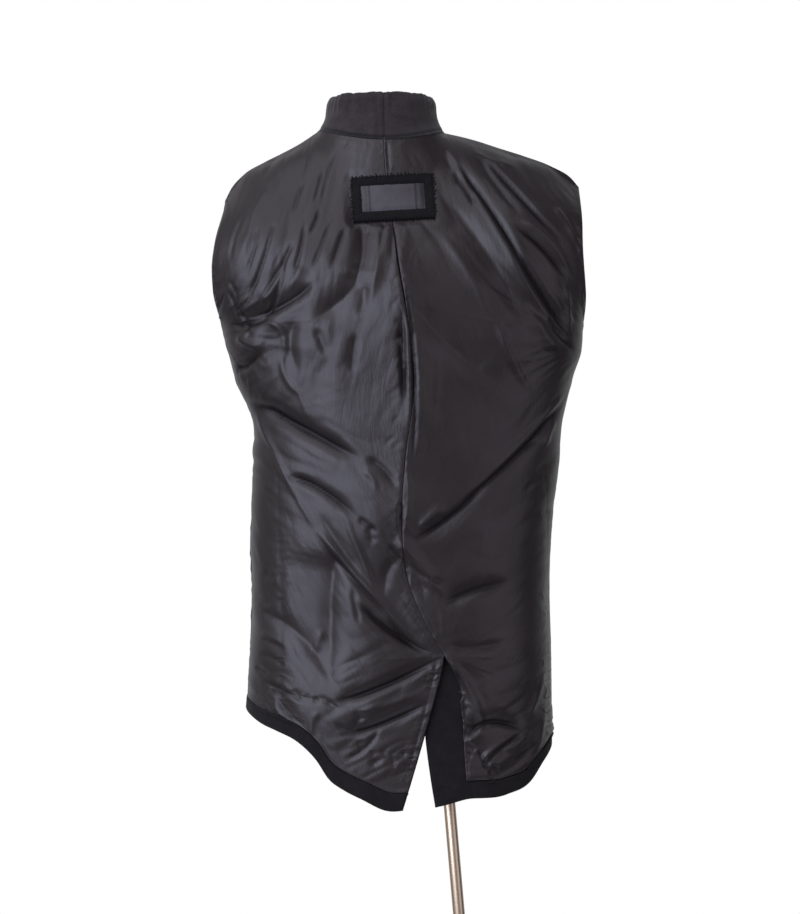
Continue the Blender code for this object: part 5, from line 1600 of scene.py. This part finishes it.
def back_y(x, z):
    """y of the back at a place, from level cuts across both panels, read at x and then between two cuts."""
    cuts = np.linspace(z.min() - 0.004, z.max() + 0.004, 24)
    reads = np.linspace(x.min() - 0.004, x.max() + 0.004, 60)
    table = np.empty((len(cuts), len(reads)))
    us = np.linspace(0.0, 0.9, 60)
    for row, cut in enumerate(cuts):
        level = [np.minimum(cut, top_edge(side, BACK, us)[2]) for side in (LEFT, RIGHT)]
        left = coat_point(LEFT, BACK, us, level[0], 0.0, "lining")
        right = coat_point(RIGHT, BACK, us, level[1], 0.0, "lining")
        across, back = (np.concatenate([left[i][::-1], right[i]]) for i in (0, 1))
        order = np.argsort(across)
        table[row] = np.interp(reads, across[order], back[order])
    at = (z - cuts[0]) / (cuts[1] - cuts[0])
    to = (x - reads[0]) / (reads[1] - reads[0])
    i, j = np.clip(at.astype(int), 0, len(cuts) - 2), np.clip(to.astype(int), 0, len(reads) - 2)
    s, t = at - i, to - j
    lower = table[i, j] * (1 - t) + table[i, j + 1] * t
    upper = table[i + 1, j] * (1 - t) + table[i + 1, j + 1] * t
    return lower * (1 - s) + upper * s


def on_back(across, up, off):
    """Points at distances across and up from the patch's middle, tilted, laid on the back and moved out."""
    x = PATCH_X + across * math.cos(PATCH_TILT) - up * math.sin(PATCH_TILT)
    z = PATCH_Z + across * math.sin(PATCH_TILT) + up * math.cos(PATCH_TILT)
    return np.stack([x, back_y(x, z) - off, z], axis=-1)


def frame_ring(half_wide, half_tall, each):
    """Distances across and up of points round a rectangle, the same number along each side."""
    run = np.linspace(-1.0, 1.0, each, endpoint=False)
    one = np.ones_like(run)
    across, up = np.concatenate([run, one, -run, -one]), np.concatenate([-one, run, one, -run])
    return across * half_wide, up * half_tall


patch_cloth = melton("black wool of the patch frame", "#0b0a0b", "#171517", 0.04)
patch_thread = melton("black buttonhole thread", "#060506", "#100e10", 0.02)


def make_frame():
    """Rings from the outer edge to the opening. The cut edges wander by half a millimetre, and the hand
    stitches near both edges draw the cloth down every 4 to 6 mm."""
    rings = []
    for share in FRAME_SHARES:
        drawn = share * PATCH_BORDER
        across, up = frame_ring(PATCH_WIDE / 2 - drawn, PATCH_TALL / 2 - drawn, FRAME_EACH)
        teeth = 0.0003 + 0.0011 * np.maximum(rumple(across, up, 0.0011, 0.0011, 161), 0.0)
        fray = teeth * (np.exp(-share / 0.05) - 0.7 * np.exp(-(1 - share) / 0.05))
        rings.append((across + fray * np.sign(across), up + fray * np.sign(up)))
    across, up = (np.stack(part, axis=1) for part in zip(*rings))
    span = np.arange(4 * FRAME_EACH)[:, None] * FRAME_STEP
    steps = np.array(FRAME_SHARES)
    edge = np.minimum(steps, 1.0 - steps)[None, :]
    uneven = 2.0 * rumple(span, 0 * span, 0.02, 1, 163)
    stitch = 0.0007 * (0.5 + 0.5 * np.sin(2 * math.pi * span / HAND_STITCH + uneven))
    off = PATCH_OFF + PATCH_WOOL + 0.0007 * ease(edge / 0.22) - stitch * np.exp(-(((edge - 0.10) / 0.06) ** 2))
    off = off + 0.0003 * rumple(across, up, 0.008, 0.006, 164)
    uv = np.stack([across, up], axis=-1)
    uv = np.concatenate([uv, uv[:1]])
    look = {"loop": True, "thick": PATCH_WOOL}
    piece = linked("label_frame_cloth", on_back(across, up, off), patch_cloth, "black_wool", uv, **look)
    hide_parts("label_frame")
    return piece


def whip_stitches():
    """One thread whipped over the outer edge of the frame. It comes up in the lining, crosses the edge, goes
    down in the wool and runs below to the next stitch. The stitches are 4.6 mm apart and 3 to 7 mm long."""
    count = round(2 * (PATCH_WIDE + PATCH_TALL) / STITCH_STEP)
    turn = np.linspace(0.0, 1.0, count, endpoint=False) + 0.002 * rumple(np.arange(count), 0, 0.7, 1, 165)
    run = turn * 2 * (PATCH_WIDE + PATCH_TALL)
    marks = np.cumsum([0.0, PATCH_WIDE, PATCH_TALL, PATCH_WIDE, PATCH_TALL])
    corner_x = np.array((-1, 1, 1, -1, -1)) * PATCH_WIDE / 2
    corner_z = np.array((-1, -1, 1, 1, -1)) * PATCH_TALL / 2
    face = np.clip(np.searchsorted(marks, run, side="right") - 1, 0, 3)
    out_x, out_z = np.array((0, 1, 0, -1))[face], np.array((-1, 0, 1, 0))[face]
    edge_x, edge_z = np.interp(run, marks, corner_x), np.interp(run, marks, corner_z)
    far = 0.0026 + 0.0016 * rumple(np.arange(count), 0, 0.8, 1, 166)
    slant = 0.0009 * rumple(np.arange(count), 0, 0.8, 1, 167)
    places = []
    for share, off in WHIP_PATH:
        at_x = edge_x + share * far * out_x - share * slant * out_z
        at_z = edge_z + share * far * out_z + share * slant * out_x
        places.append(np.stack([at_x, at_z, off + 0 * far], axis=-1))
    path = np.stack(places, axis=1)
    path[..., 2] += PATCH_OFF
    path = path.reshape(-1, 3)
    ahead = np.roll(path, -1, axis=0) - np.roll(path, 1, axis=0)
    ahead /= np.linalg.norm(ahead, axis=1, keepdims=True)
    aside = np.cross(ahead, (0.0, 0.0, 1.0))
    aside /= np.linalg.norm(aside, axis=1, keepdims=True) + 1e-9
    over = np.cross(aside, ahead)
    round_it = np.linspace(0.0, 2 * math.pi, 7, endpoint=False)[:, None, None]
    tube = path + THREAD * (np.cos(round_it) * aside + np.sin(round_it) * over)
    return linked("frame_stitches", on_back(*np.moveaxis(tube, -1, 0)), patch_thread, "black_wool", loop=True)


def label_satin():
    """Woven label satin, grey with darker upright bars near its ends, plain between them."""
    material, tree, shader, colour = acetate_satin("grey woven label satin", "#363237", "#47434a")
    feed(tree, shader, Base_Color=marked(tree, colour, "bar", "#1b181b")[0])
    return material


frame_piece = make_frame()
stitches = whip_stitches()
cut = (PATCH_WIDE, PATCH_TALL)
wide, tall = PATCH_WIDE / 2 - PATCH_BORDER, PATCH_TALL / 2 - PATCH_BORDER
across, up = np.meshgrid(np.linspace(-wide, wide, 90), np.linspace(-tall, tall, 36), indexing="ij")
bar = np.exp(-(((np.abs(across + 0.0005) - BAR_PLACE) / BAR_WIDE) ** 4))
bar = bar + 0.55 * ease((np.abs(across) - 0.033) / 0.002)
bulge = 0.0008 * ease((tall - np.abs(up)) / 0.006) * ease((wide - np.abs(across)) / 0.006)
off = PATCH_OFF + LABEL_WALL + bulge + 0.0003 * rumple(across, up, 0.014, 0.010, 171)
uv = np.stack([across, up], axis=-1)
look = {"thick": LABEL_WALL - 0.0001, "marks": {"bar": np.clip(bar, 0.0, 1.0)}}
label = linked("label_satin", on_back(across, up, off), label_satin(), "grey_satin", uv, **look)
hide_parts("label")
